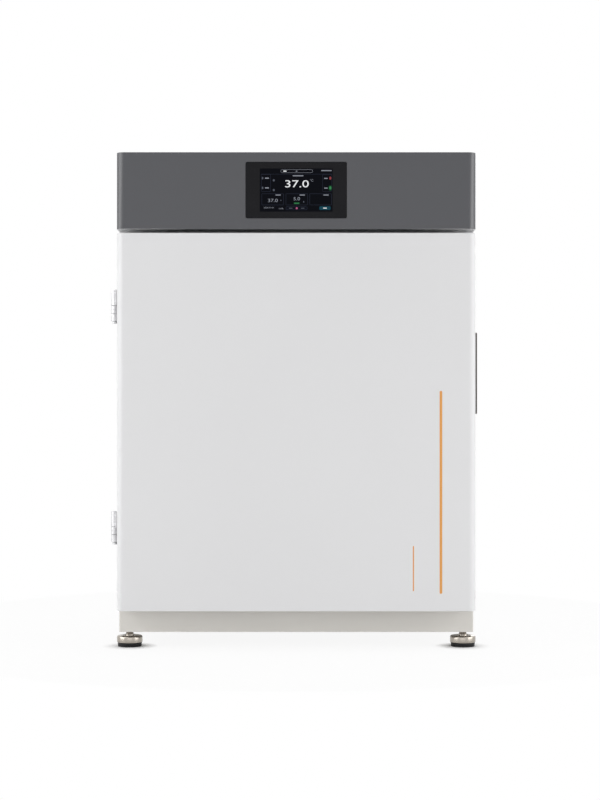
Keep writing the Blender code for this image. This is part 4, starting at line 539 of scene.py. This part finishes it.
def edit_faces(obj, wanted, *steps):
    """Selects the faces that pass a test, in edit mode, and runs operators on them."""
    only(obj)
    bpy.ops.object.mode_set(mode="EDIT")
    bpy.ops.mesh.select_mode(type="FACE")
    bpy.ops.mesh.select_all(action="DESELECT")
    grid = bmesh.from_edit_mesh(obj.data)
    for face in grid.faces:
        face.select = wanted(face)
    grid.select_flush_mode()
    bmesh.update_edit_mesh(obj.data)
    for operator, settings in steps:
        operator(**settings)
    bpy.ops.object.mode_set(mode="OBJECT")


def finished(obj, name, finish, body):
    """Names a piece, gives it its finish, and lets it ride on its body."""
    obj.name = name
    obj.data.name = name
    obj.data.materials.clear()
    obj.data.materials.append(FINISH[finish] if isinstance(finish, str) else finish)
    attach(obj, body)
    bpy.ops.object.select_all(action="DESELECT")


def rounded_corners(radius, segments=4):
    """The step for edit_faces that rounds the corners of a flat piece."""
    return bpy.ops.mesh.bevel, {"offset": radius, "segments": segments, "affect": "VERTICES"}


def thicken(obj, thickness, offset, even=False):
    """Makes a sheet solid, along its normals with offset 1 and against them with -1."""
    wall = obj.modifiers.new("wall", "SOLIDIFY")
    wall.thickness = thickness
    wall.offset = offset
    wall.use_even_offset = even
    apply_modifiers(obj)


def moved_copy(pattern, matrix):
    """A copy of a pattern piece with its own mesh, moved in the mesh."""
    copy = pattern.copy()
    copy.data = pattern.data.copy()
    copy.data.transform(matrix)
    bpy.context.scene.collection.objects.link(copy)
    return copy


def facing(direction, at):
    """The matrix that turns +Z to a direction and puts the origin at a point."""
    turn = Vector(direction).to_track_quat("Z", "Y").to_matrix().to_4x4()
    return Matrix.Translation(at) @ turn


def turned_piece(rings, steps=48):
    """A solid drawn up from a disc, ring by ring, each given by its radius and height."""
    radius, height = rings[0]
    bpy.ops.object.select_all(action="DESELECT")
    bpy.ops.mesh.primitive_circle_add(
        vertices=steps, radius=radius, fill_type="NGON", location=(0.0, 0.0, height))
    obj = bpy.context.object
    apply_place(obj)
    bpy.ops.object.mode_set(mode="EDIT")
    bpy.ops.mesh.select_mode(type="FACE")
    bpy.ops.mesh.select_all(action="SELECT")
    for wider, higher in rings[1:]:
        rise = {"value": (0.0, 0.0, higher - height)}
        bpy.ops.mesh.extrude_region_move(TRANSFORM_OT_translate=rise)
        share = wider / radius
        bpy.ops.transform.resize(value=(share, share, 1.0), center_override=(0.0, 0.0, higher))
        radius, height = wider, higher
    bpy.ops.mesh.select_all(action="SELECT")
    bpy.ops.mesh.normals_make_consistent(inside=False)
    bpy.ops.object.mode_set(mode="OBJECT")
    bpy.ops.object.shade_smooth_by_angle(angle=SMOOTH_ANGLE)
    return obj


def in_mm(rings):
    """Rings written in millimetres, as metres."""
    return [(radius * MM, height * MM) for radius, height in rings]


def carve(obj, tool):
    """Cuts a tool out of a piece and removes the tool."""
    cutting = obj.modifiers.new("carve", "BOOLEAN")
    cutting.operation = "DIFFERENCE"
    cutting.solver = "EXACT"
    cutting.object = tool
    apply_modifiers(obj)
    drop(tool)


def drop(obj):
    """Removes a pattern or a cutting tool that is no longer needed."""
    bpy.data.objects.remove(obj, do_unlink=True)


# Levelling feet: nickel cup with its collar on a threaded stud, and the ribbed pad

FEET = ("front_left", "front_right", "rear_left", "rear_right")
FOOT_STEPS = 56  # corners round a foot
# Thread of the stud, in millimetres
THREAD_PITCH = 1.25
THREAD_START, THREAD_END = 19.0, 47.0  # heights
THREAD_CORE, THREAD_CREST = 5.3, 5.95  # radii
THREAD_FLAT = 0.1  # half the width of its crest
STUD_END = (5.0, 48.0)  # radius and height


def cup_rings():
    """From the cup's open rim over its shoulder and collar, and up the thread of the stud."""
    rings = [
        (18.6, 6.5), (19.6, 6.5), (20.0, 6.9), (20.0, 7.9), (19.75, 8.1), (19.75, 8.5), (20.0, 8.7),
        (20.0, 14.2), (19.8, 15.3), (19.1, 16.2), (17.9, 16.8), (15.0, 17.2), (10.4, 17.4),
        (8.2, 17.3), (7.9, 16.9), (7.4, 16.9), (7.2, 17.3), (7.2, 18.5), (6.9, 18.75), (5.4, 18.75),
    ]
    height = THREAD_START
    while height + THREAD_PITCH < THREAD_END:
        crest = height + THREAD_PITCH / 2
        rings += [
            (THREAD_CORE, height), (THREAD_CREST, crest - THREAD_FLAT),
            (THREAD_CREST, crest + THREAD_FLAT),
        ]
        height += THREAD_PITCH
    return in_mm(rings + [(THREAD_CORE, height), STUD_END])


PAD_RINGS = in_mm((
    (17.6, 0.0), (18.2, 0.15), (18.5, 0.7), (18.8, 2.2), (18.6, 2.45), (17.7, 2.55), (17.7, 3.55),
    (18.6, 3.65), (18.8, 3.9), (18.8, 5.7), (18.5, 6.1), (17.9, 6.2),
))


def make_feet():
    """One cup and one pad, turned once and copied to the four feet."""
    cup = turned_piece(cup_rings(), FOOT_STEPS)
    pad = turned_piece(PAD_RINGS, FOOT_STEPS)
    for place in FEET:
        for pattern, part, finish in ((cup, "cup", "chrome"), (pad, "pad", "rubber")):
            node = f"foot_{part}_{place}"
            at = piece_middle(node)
            piece = moved_copy(pattern, Matrix.Translation((at.x, at.y, 0.0)))
            finished(piece, f"{place}_{part}", finish, f"foot_{place}")
            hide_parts(node)
    drop(cup)
    drop(pad)


# Small turned fittings, each drawn along +Z and then put in place

HINGE_PIN_RINGS = in_mm((
    (2.6, -3.8), (3.4, -3.7), (4.0, -3.1), (4.0, -0.9), (3.6, -0.35), (3.0, -0.3), (3.0, 11.8),
    (5.4, 11.8), (6.0, 12.4), (6.0, 17.3), (5.7, 17.6), (5.7, 18.1), (6.0, 18.4), (6.0, 23.3),
    (5.4, 23.9), (3.0, 23.9), (3.0, 46.6), (2.5, 47.1),
))
PORT_TUBE_RINGS = in_mm((
    (21.0, -112.1), (21.0, 0.0), (28.4, 0.0), (29.0, 0.5), (29.0, 2.2), (28.2, 3.0), (22.0, 3.0),
))
PORT_STEPS = 64  # corners round the port and its plug
PORT_BORE = 18.5 * MM  # radius
PORT_BORE_TOOL = 0.3  # length of the tool that bores the tube
PORT_FLANGE = 3.0 * MM
PLUG_HEAD = 8.0 * MM
PORT_PLUG_RINGS = in_mm((
    (15.9, -40.0), (16.7, -39.2), (18.2, -1.0), (18.2, 0.0), (24.4, 0.0), (25.0, 0.6), (25.0, 5.6),
    (24.7, 6.8), (23.8, 7.7), (22.4, 8.0), (18.2, 8.0), (17.7, 7.4), (15.9, 7.4), (15.4, 8.0),
    (3.0, 8.0), (2.4, 7.5), (0.6, 7.5),
))
BARB_RINGS = in_mm((
    (4.6, -10.5), (5.0, -10.1), (5.0, 5.3), (2.9, 5.3), (3.8, 6.3), (2.95, 10.2), (3.8, 11.2),
    (2.95, 15.2), (3.8, 16.2), (2.9, 20.0), (2.5, 20.3), (1.9, 20.3), (1.8, 14.0),
))
NUT_RINGS = in_mm(((7.3, 0.3), (8.5, 1.0), (8.5, 4.5), (7.4, 5.3), (5.2, 5.3)))
SENSOR_BODY_RINGS = in_mm((
    (9.4, 556.0), (10.0, 556.6), (10.0, 645.5), (15.0, 645.5), (15.0, 647.2), (14.7, 647.5),
    (10.0, 647.5), (10.0, 654.0), (9.5, 654.5),
))
SENSOR_CAP_RINGS = in_mm((
    (3.0, 530.2), (6.2, 530.8), (8.4, 532.6), (9.3, 535.4), (9.4, 537.0), (8.9, 537.4),
    (8.9, 538.6), (9.4, 539.0), (9.4, 545.0), (8.9, 545.4), (8.9, 546.6), (9.4, 547.0),
    (9.4, 554.8), (8.8, 555.6),
))
PROBE_RINGS = in_mm((
    (1.0, 515.2), (2.2, 515.7), (2.9, 517.2), (3.0, 519.0), (3.0, 645.5), (8.0, 645.5),
    (8.0, 647.3), (7.7, 647.5), (3.0, 647.5), (3.0, 654.5),
))


def turned_node(node, rings, at, towards, finish, body, steps=48):
    """A finer turned piece in place of a node, from its rings, its zero point and its axis."""
    piece = turned_piece(rings, steps)
    piece.data.transform(facing(towards, at))
    finished(piece, f"{node}_turned", finish, body)
    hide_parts(node)


def make_turned_fittings():
    """Hinge pins, access port and plug, gas fitting, sensor and temperature probe."""
    for level in ("lower", "upper"):
        node = f"hinge_pin_{level}"
        pin = piece_middle(node)
        at = (pin.x, pin.y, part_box(f"hinge_leaf_cabinet_{level}")[0].z)
        turned_node(node, HINGE_PIN_RINGS, at, (0, 0, 1), "hinge", "cabinet")
    plug = piece_middle("port_plug")
    at = (plug.x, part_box("port_plug")[1].y - PLUG_HEAD, plug.z)
    turned_node("port_plug", PORT_PLUG_RINGS, at, (0, 1, 0), "silicone", "plug",
                PORT_STEPS)
    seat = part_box("access_port_tube")[1].y - PORT_FLANGE
    tube = turned_piece(PORT_TUBE_RINGS, PORT_STEPS)
    bpy.ops.mesh.primitive_cylinder_add(
        vertices=PORT_STEPS, radius=PORT_BORE, depth=PORT_BORE_TOOL, location=(0.0, 0.0, 0.0))
    bore = bpy.context.object
    apply_place(bore)
    carve(tube, bore)
    tube.data.transform(facing((0, 1, 0), (plug.x, seat, plug.z)))
    finished(tube, "access_port_turned", "steel_x", "cabinet")
    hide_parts("access_port_tube")
    fitting = piece_middle("gas_fitting")
    at = (fitting.x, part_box("cabinet_wrap")[1].y, fitting.z)
    turned_node("gas_fitting", BARB_RINGS, at, (0, 1, 0), "brass", "cabinet")
    nut = turned_piece(NUT_RINGS, 6)
    nut.data.transform(facing((0, 1, 0), at))
    finished(nut, "gas_fitting_nut", "brass", "cabinet")
    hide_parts("gas_fitting")
    sensor = piece_middle("co2_sensor")
    at = (sensor.x, sensor.y, 0.0)
    turned_node("co2_sensor", SENSOR_BODY_RINGS, at, (0, 0, 1), "steel_z", "cabinet")
    cap = turned_piece(SENSOR_CAP_RINGS)
    cap.data.transform(Matrix.Translation(at))
    finished(cap, "co2_sensor_cap", "sintered", "cabinet")
    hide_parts("co2_sensor")
    probe = piece_middle("temperature_probe")
    at = (probe.x, probe.y, 0.0)
    turned_node("temperature_probe", PROBE_RINGS, at, (0, 0, 1), "chrome", "cabinet", 32)


# Magnetic gasket of the outer door: a bellows round the rim, with the magnet's crown on it

GASKET_CORNER = 27.0 * MM
GASKET_WALL = 0.5 * MM
# Each step in from the outer edge: how far in, and how far towards the cabinet, in millimetres
GASKET_STEPS = (
    (0.5, 1.2), (0.9, 0.0), (0.9, -0.5), (0.6, 0.0), (1.0, 3.6), (0.5, 0.9), (2.1, 0.45),
    (0.5, -0.35), (0.5, 0.35), (2.1, -0.45), (0.5, -0.9), (1.0, -3.6), (0.6, 0.0), (0.9, 0.5),
    (0.9, 0.0), (0.5, -1.2),
)


def make_door_gasket():
    """A sheet the size of the gasket, stepped in from its edge, opened and thickened."""
    low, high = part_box("door_gasket")
    middle = (low + high) / 2
    bpy.ops.object.select_all(action="DESELECT")
    at = (middle.x, low.y + GASKET_WALL, middle.z)
    bpy.ops.mesh.primitive_plane_add(size=1.0, location=at, rotation=(radians(-90), 0.0, 0.0))
    gasket = bpy.context.object
    gasket.scale = (high.x - low.x, high.z - low.z, 1.0)
    apply_place(gasket)
    steps = [rounded_corners(GASKET_CORNER, 8)]
    for inward, outward in GASKET_STEPS:
        steps.append((bpy.ops.mesh.inset, {"thickness": inward * MM, "depth": outward * MM}))
    steps.append((bpy.ops.mesh.delete, {"type": "FACE"}))
    edit_faces(gasket, lambda face: True, *steps)
    thicken(gasket, GASKET_WALL, -1.0, even=True)
    bpy.ops.object.shade_smooth_by_angle(angle=SMOOTH_ANGLE)
    finished(gasket, "door_gasket_bellows", "gasket", "outer_door")
    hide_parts("door_gasket")


# Two plain lines on the door, the signs of the switch and the pins of the inlet

# Middle of each line, x and z, and its width and height, in millimetres
DOOR_LINES = ((221.0, 243.0, 4.0, 310.0), (179.0, 126.5, 1.8, 69.0))
LINE_ROUNDING = 0.45  # as a share of the width
LINE_THICKNESS = 0.05 * MM


def slab(width, height, corner, thickness):
    """A flat piece that faces +Z from the origin, with rounded corners; sizes in metres."""
    bpy.ops.object.select_all(action="DESELECT")
    bpy.ops.mesh.primitive_plane_add(size=1.0)
    flat = bpy.context.object
    flat.scale = (width, height, 1.0)
    apply_place(flat)
    edit_faces(flat, lambda face: True, rounded_corners(corner))
    thicken(flat, thickness, 1.0)
    return flat


def make_door_lines():
    """Two plain orange lines up the door, where its decoration stands."""
    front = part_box("door_skin")[0].y
    for number, (x, z, width, height) in enumerate(DOOR_LINES):
        line = slab(width * MM, height * MM, width * MM * LINE_ROUNDING, LINE_THICKNESS)
        line.data.transform(facing((0, -1, 0), (x * MM, front, z * MM)))
        finished(line, f"door_line_{number}", "orange", "outer_door")


ROCKER_SLOPE = radians(24)  # between the rocker's two faces
ROCKER_PIVOT = (0.2683, 0.7)  # y and z of the axis that the rocker tips on
BAR_SIZE = (0.8 * MM, 4.2 * MM)
BAR_CORNER = 0.2 * MM
BAR_FROM_PIVOT = Vector((0.0, 4.9 * MM, 7.0 * MM))
RING_FROM_PIVOT = Vector((0.0, 7.3 * MM, -4.3 * MM))
RING_OUTSIDE, RING_INSIDE = 4.0 * MM, 2.8 * MM
RING_CUT = 1.0 * MM  # depth of the tool that opens the ring


def disc(width, thickness):
    """A round slab: its corners are rounded to just short of its middle."""
    return slab(width, width, width / 2 - 0.01 * MM, thickness)


def make_switch_signs():
    """The bar of ON and the ring of OFF on the two faces of the rocker."""
    pivot = Vector((piece_middle("rocker_switch").x, *ROCKER_PIVOT))
    bar = slab(*BAR_SIZE, BAR_CORNER, LINE_THICKNESS)
    bar.data.transform(facing((0, 1, 0), pivot + BAR_FROM_PIVOT))
    finished(bar, "switch_bar", "sign", "rocker")
    ring = disc(RING_OUTSIDE, LINE_THICKNESS)
    hole = disc(RING_INSIDE, RING_CUT)
    hole.data.transform(Matrix.Translation((0.0, 0.0, -RING_CUT / 2)))
    carve(ring, hole)
    slope = (0.0, cos(ROCKER_SLOPE), sin(ROCKER_SLOPE))
    ring.data.transform(facing(slope, pivot + RING_FROM_PIVOT))
    finished(ring, "switch_ring", "sign", "rocker")


INLET_PIN = (4.2 * MM, 2.2 * MM)
INLET_PINS = ((2.6, 7.0), (-2.6, 0.0), (2.6, -7.0))  # millimetres from the socket's middle
INLET_PIN_LENGTH = 10.0 * MM
INLET_PIN_EDGE = {"offset": 0.5 * MM, "segments": 2}
SOCKET_FROM_EDGE = 16.0 * MM  # plate's edge to the middle of the socket
PINS_BEHIND_PLATE = 5.9 * MM


def make_inlet_pins():
    """Bare metal blades over the three pins of the mains socket."""
    low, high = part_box("power_inlet")
    for number, (across, up) in enumerate(INLET_PINS):
        at = (high.x - SOCKET_FROM_EDGE + across * MM,
              high.y - PINS_BEHIND_PLATE - INLET_PIN_LENGTH / 2,
              (low.z + high.z) / 2 + up * MM)
        bpy.ops.mesh.primitive_cube_add(size=1.0, location=at)
        blade = bpy.context.object
        blade.scale = (INLET_PIN[0], INLET_PIN_LENGTH, INLET_PIN[1])
        apply_place(blade)
        tip = (bpy.ops.mesh.bevel, INLET_PIN_EDGE)
        edit_faces(blade, lambda face: face.normal.y > 0.9, tip)
        finished(blade, f"inlet_pin_{number}", "screw", "cabinet")


# Pan head screws

SCREW_RINGS = in_mm((
    (2.6, -0.4), (2.6, 0.0), (3.3, 0.0), (3.5, 0.25), (3.45, 0.9), (3.1, 1.5), (2.4, 1.95),
    (1.3, 2.2), (0.4, 2.25),
))
RECESS_LONG, RECESS_WIDE, RECESS_HIGH = 3.5 * MM, 0.75 * MM, 2.4 * MM
RECESS_MIDDLE = 2.1 * MM  # height of the recess blade's middle over the screw's seat
RECESS_END = (0.45, 0.8)  # length and width of the recess at its end, as shares


def make_screw_pattern():
    """A pan head with a cross recess that narrows as it goes in."""
    screw = turned_piece(SCREW_RINGS, 24)
    long_share, wide_share = RECESS_END
    for size, share in (
        ((RECESS_LONG, RECESS_WIDE, RECESS_HIGH), (long_share, wide_share, 1.0)),
        ((RECESS_WIDE, RECESS_LONG, RECESS_HIGH), (wide_share, long_share, 1.0)),
    ):
        bpy.ops.mesh.primitive_cube_add(size=1.0, location=(0.0, 0.0, RECESS_MIDDLE))
        blade = bpy.context.object
        blade.scale = size
        apply_place(blade)
        narrow = (bpy.ops.transform.resize, {"value": share})
        edit_faces(blade, lambda face: face.normal.z < -0.9, narrow)
        carve(screw, blade)
    only(screw)
    bpy.ops.object.shade_smooth_by_angle(angle=SMOOTH_ANGLE)
    return screw


HINGE_LEAF = 2.5 * MM  # cabinet side to the outer face of a hinge leaf
DUCT_FLANGE = 1.1 * MM  # back of the air duct to the front of its flanges
PANEL_SCREW_INSET = 8 * MM  # edge of the service panel to its screws
INLET_SCREW_INSET = 3.4 * MM
TOP_SCREWS_X = (-0.24, -0.08, 0.08, 0.24)
TOP_SCREWS_DROP = 9 * MM  # top of the cabinet wrap to its upper screws
BASE_SCREWS_X = (-0.2, 0.0, 0.2)
BASE_SCREWS_DROP = 14 * MM  # foot of the cabinet wrap to the screws of the base
LEAF_SCREW_INSET, LEAF_SCREW_RISE = 12 * MM, 13 * MM
DOOR_LEAF_SCREW_INSET, DOOR_LEAF_SCREW_RISE = 8 * MM, 6.5 * MM
CLAMP_SCREW_INSET, CLAMP_SCREW_RISE = 8 * MM, 8 * MM
DUCT_SCREW_INSET, DUCT_SCREW_ENDS = 5 * MM, 30 * MM


def screw_places():
    """Name, place, direction and body of every screw that can be seen."""
    places = []

    def row(name, points, towards, body="cabinet", scale=1.0):
        """Adds numbered screws of one name that face one way."""
        for number, point in enumerate(points):
            places.append((f"{name}_screw_{number}", Vector(point), towards, body, scale))

    def pair(node, rise):
        """The heights of two screws, one below and one above the middle of a node."""
        middle = piece_middle(node).z
        return middle - rise, middle + rise

    low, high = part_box("rear_service_panel")
    middle_z = (low.z + high.z) / 2
    row("service_panel", [
        (x, high.y, z)
        for x in (low.x + PANEL_SCREW_INSET, 0.0, high.x - PANEL_SCREW_INSET)
        for z in (low.z + PANEL_SCREW_INSET, middle_z, high.z - PANEL_SCREW_INSET)
        if (x, z) != (0.0, middle_z)
    ], (0, 1, 0))
    low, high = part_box("power_inlet")
    middle_z = (low.z + high.z) / 2
    row("power_inlet", [
        (low.x + INLET_SCREW_INSET, high.y, middle_z),
        (high.x - INLET_SCREW_INSET, high.y, middle_z),
    ], (0, 1, 0), scale=0.62)
    wrap_low, wrap_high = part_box("cabinet_wrap")
    top_z = wrap_high.z - TOP_SCREWS_DROP
    row("top_cover", [(x, wrap_high.y, top_z) for x in TOP_SCREWS_X], (0, 1, 0), scale=0.9)
    base_z = wrap_low.z - BASE_SCREWS_DROP
    row("base", [(x, wrap_high.y, base_z) for x in BASE_SCREWS_X], (0, 1, 0), scale=0.9)
    leaf_x = wrap_low.x - HINGE_LEAF
    for level in ("lower", "upper"):
        leaf = f"hinge_leaf_cabinet_{level}"
        leaf_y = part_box(leaf)[1].y - LEAF_SCREW_INSET
        row(f"cabinet_leaf_{level}", [
            (leaf_x, leaf_y, z) for z in pair(leaf, LEAF_SCREW_RISE)
        ], (-1, 0, 0), scale=0.85)
        leaf = f"hinge_leaf_door_{level}"
        leaf_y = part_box(leaf)[0].y + DOOR_LEAF_SCREW_INSET
        row(f"door_leaf_{level}", [
            (leaf_x, leaf_y, z) for z in pair(leaf, DOOR_LEAF_SCREW_RISE)
        ], (-1, 0, 0), "outer_door", 0.75)
        clamp = f"glass_clamp_{level}"
        low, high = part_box(clamp)
        row(clamp, [
            (high.x - CLAMP_SCREW_INSET, low.y, z) for z in pair(clamp, CLAMP_SCREW_RISE)
        ], (0, -1, 0), "inner_door", 0.6)
    low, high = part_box("air_duct")
    row("air_duct", [
        (x, high.y - DUCT_FLANGE, z)
        for x in (low.x + DUCT_SCREW_INSET, high.x - DUCT_SCREW_INSET)
        for z in (low.z + DUCT_SCREW_ENDS, (low.z + high.z) / 2, high.z - DUCT_SCREW_ENDS)
    ], (0, -1, 0), scale=0.8)
    return places


def make_screws():
    """One screw, modelled once and copied to every place."""
    pattern = make_screw_pattern()
    for name, at, towards, body, scale in screw_places():
        place = facing(towards, at) @ Matrix.Scale(scale, 4)
        finished(moved_copy(pattern, place), name, "screw", body)
    drop(pattern)


# Screen of the touch panel: plain numbers, bars and marks

PANEL_LOW, PANEL_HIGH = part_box("display_bezel")
PANEL_FRONT = PANEL_LOW.y
SCREEN_SIZE = (111.2, 66.0)  # millimetres
SCREEN_WIDTH, SCREEN_HEIGHT = (side * MM for side in SCREEN_SIZE)
SCREEN_LOW = Vector((-SCREEN_WIDTH / 2, 0.0, (PANEL_LOW.z + PANEL_HIGH.z) / 2 - SCREEN_HEIGHT / 2))
LAYER = 0.02 * MM
BACKDROP, TILE, MARK = 1, 3, 4  # how many layers a mark stands in front of the panel
DIGIT_SHARE = 0.73  # a digit's height as a share of the text size

INK = {
    "night": lit("screen_night", photo(9, 11, 20), 0.55),
    "tile": lit("screen_tile", photo(14, 17, 30), 0.60),
    "line": lit("screen_line", photo(60, 66, 84), 0.75),
    "white": lit("screen_white", photo(236, 238, 240), 0.95),
    "silver": lit("screen_silver", photo(150, 154, 164), 0.80),
    "dim": lit("screen_dim", photo(92, 97, 108), 0.75),
    "red": lit("screen_red", photo(150, 62, 66), 0.85),
    "green": lit("screen_green", photo(58, 138, 84), 0.85),
    "deep_green": lit("screen_deep_green", photo(20, 66, 38), 0.80),
    "pink": lit("screen_pink", photo(190, 96, 140), 0.90),
    "teal": lit("screen_teal", photo(24, 70, 84), 0.85),
}


def on_screen(across, up):
    """A place on the screen from its shares of the width and of the height."""
    return SCREEN_LOW.x + across * SCREEN_WIDTH, SCREEN_LOW.z + up * SCREEN_HEIGHT


def screen_mark(name, ink, across, up, size, corner, layer, more_steps=()):
    """A thin rounded slab on the screen; its middle is given in shares, its size in millimetres."""
    x, z = on_screen(across, up)
    bpy.ops.mesh.primitive_plane_add(size=1.0, location=(x, PANEL_FRONT - layer * LAYER, z))
    mark = bpy.context.object
    mark.scale = (size[0] * MM, size[1] * MM, 1.0)
    mark.rotation_euler = (radians(90), 0.0, 0.0)
    apply_place(mark)
    if corner > 0.0:
        edit_faces(mark, lambda face: True, rounded_corners(corner * MM), *more_steps)
    thicken(mark, LAYER, -1.0)
    finished(mark, name, INK[ink], "cabinet")


def screen_frame(name, ink, across, up, size, corner, line, layer):
    """A thin outlined box on the screen."""
    open_up = (
        (bpy.ops.mesh.inset, {"thickness": line * MM, "use_even_offset": True}),
        (bpy.ops.mesh.delete, {"type": "FACE"}),
    )
    screen_mark(name, ink, across, up, size, corner, layer, open_up)


def screen_number(name, text, ink, across, up, height, stretch):
    """Plain digits on the screen, centred on a place, with their height in millimetres."""
    x, z = on_screen(across, up)
    bpy.ops.object.text_add(location=(x, PANEL_FRONT - MARK * LAYER, z))
    digits = bpy.context.object
    digits.data.body = text
    digits.data.size = height * MM / DIGIT_SHARE
    digits.data.align_x = "CENTER"
    digits.data.align_y = "CENTER"
    digits.data.extrude = LAYER / 2
    digits.data.resolution_u = 6
    digits.scale = (stretch, 1.0, 1.0)
    digits.rotation_euler = (radians(90), 0.0, 0.0)
    only(digits)
    bpy.ops.object.convert(target="MESH")
    digits = bpy.context.object
    apply_place(digits)
    finished(digits, name, INK[ink], "cabinet")


TILE_SIZE = (33.5, 17.4)
TILE_UP = 0.285
TILE_ACROSS = (0.177, 0.508, 0.835)


def make_screen():
    """Backdrop, status line, the large reading, the side columns, three tiles and the foot line."""
    screen_mark("screen_backdrop", "night", 0.5, 0.5, SCREEN_SIZE, 0.8, BACKDROP)
    screen_frame("status_pill", "silver", 0.507, 0.938, (49.0, 5.0), 2.3, 0.35, MARK)
    screen_mark("status_pill_dot", "white", 0.345, 0.938, (5.0, 1.6), 0.7, MARK)
    screen_mark("status_pill_mid", "silver", 0.505, 0.938, (2.4, 1.4), 0.6, MARK)
    screen_mark("status_text", "silver", 0.915, 0.950, (16.0, 1.5), 0.5, MARK)
    screen_mark("status_line", "line", 0.5, 0.868, (108.0, 0.25), 0.0, TILE)
    screen_mark("reading_caption", "silver", 0.525, 0.830, (16.5, 1.5), 0.6, MARK)
    screen_number("main_reading", "37.0", "white", 0.507, 0.635, 11.4, 1.42)
    screen_number("main_unit", "°C", "silver", 0.712, 0.720, 3.4, 1.1)
    for side, across in (("left", 0.085), ("right", 0.925)):
        screen_frame(f"{side}_column", "line", across, 0.665, (14.2, 26.5), 1.2, 0.25, TILE)
    for row, (up, ink) in enumerate(((0.775, "red"), (0.550, "green"))):
        screen_mark(f"left_icon_{row}", "dim", 0.038, up, (2.4, 3.6), 1.1, MARK)
        screen_mark(f"left_value_{row}", "silver", 0.098, up, (6.0, 1.7), 0.7, MARK)
        screen_mark(f"middle_icon_{row}", "dim", 0.192, up - 0.05, (3.0, 3.4), 1.4, MARK)
        screen_mark(f"right_value_{row}", "silver", 0.908, up - 0.005, (5.4, 1.5), 0.6, MARK)
        screen_mark(f"right_icon_{row}", ink, 0.968, up, (3.0, 4.6), 1.4, MARK)
    screen_mark("right_glow", "deep_green", 0.968, 0.548, (5.6, 8.2), 2.7, TILE)
    for place, across in enumerate(TILE_ACROSS):
        screen_frame(f"tile_{place}", "line", across, TILE_UP, TILE_SIZE, 1.2, 0.3, TILE)
        caption = f"tile_caption_{place}"
        screen_mark(caption, "silver", across + 0.075, 0.385, (8.0, 1.4), 0.5, MARK)
    screen_number("tile_reading_0", "37.0", "silver", 0.178, 0.255, 5.2, 1.3)
    screen_number("tile_reading_1", "5.0", "silver", 0.507, 0.295, 5.0, 1.25)
    screen_mark("tile_glow", "deep_green", 0.507, 0.195, (9.6, 3.4), 1.6, TILE)
    screen_mark("tile_mark", "green", 0.507, 0.195, (7.4, 1.2), 0.5, MARK)
    screen_mark("tile_tick_0", "dim", 0.290, 0.262, (1.6, 1.6), 0.7, MARK)
    screen_mark("tile_tick_1", "dim", 0.603, 0.228, (1.4, 2.4), 0.6, MARK)
    screen_number("clock_date", "2026-01-01", "silver", 0.126, 0.092, 2.2, 1.15)
    screen_number("clock_time", "12:00", "silver", 0.290, 0.070, 2.2, 1.1)
    screen_mark("foot_bar", "tile", 0.505, 0.080, (33.0, 5.2), 2.4, TILE)
    screen_frame("foot_bar_edge", "line", 0.505, 0.080, (33.0, 5.2), 2.4, 0.25, MARK)
    screen_mark("foot_mark", "pink", 0.507, 0.080, (3.0, 3.0), 1.45, MARK)
    for side, across in (("left", 0.425), ("right", 0.590)):
        screen_mark(f"foot_dash_{side}", "dim", across, 0.080, (5.4, 1.0), 0.4, MARK)
    screen_mark("button", "teal", 0.895, 0.082, (17.2, 5.6), 1.6, TILE)
    screen_mark("button_label", "white", 0.895, 0.082, (5.6, 1.3), 0.5, MARK)


make_camera()
make_world()
make_lights()
make_floor()
dress_nodes()
make_feet()
make_turned_fittings()
make_door_gasket()
make_door_lines()
make_switch_signs()
make_inlet_pins()
make_screws()
make_screen()

bpy.context.scene.view_settings.view_transform = "Standard"
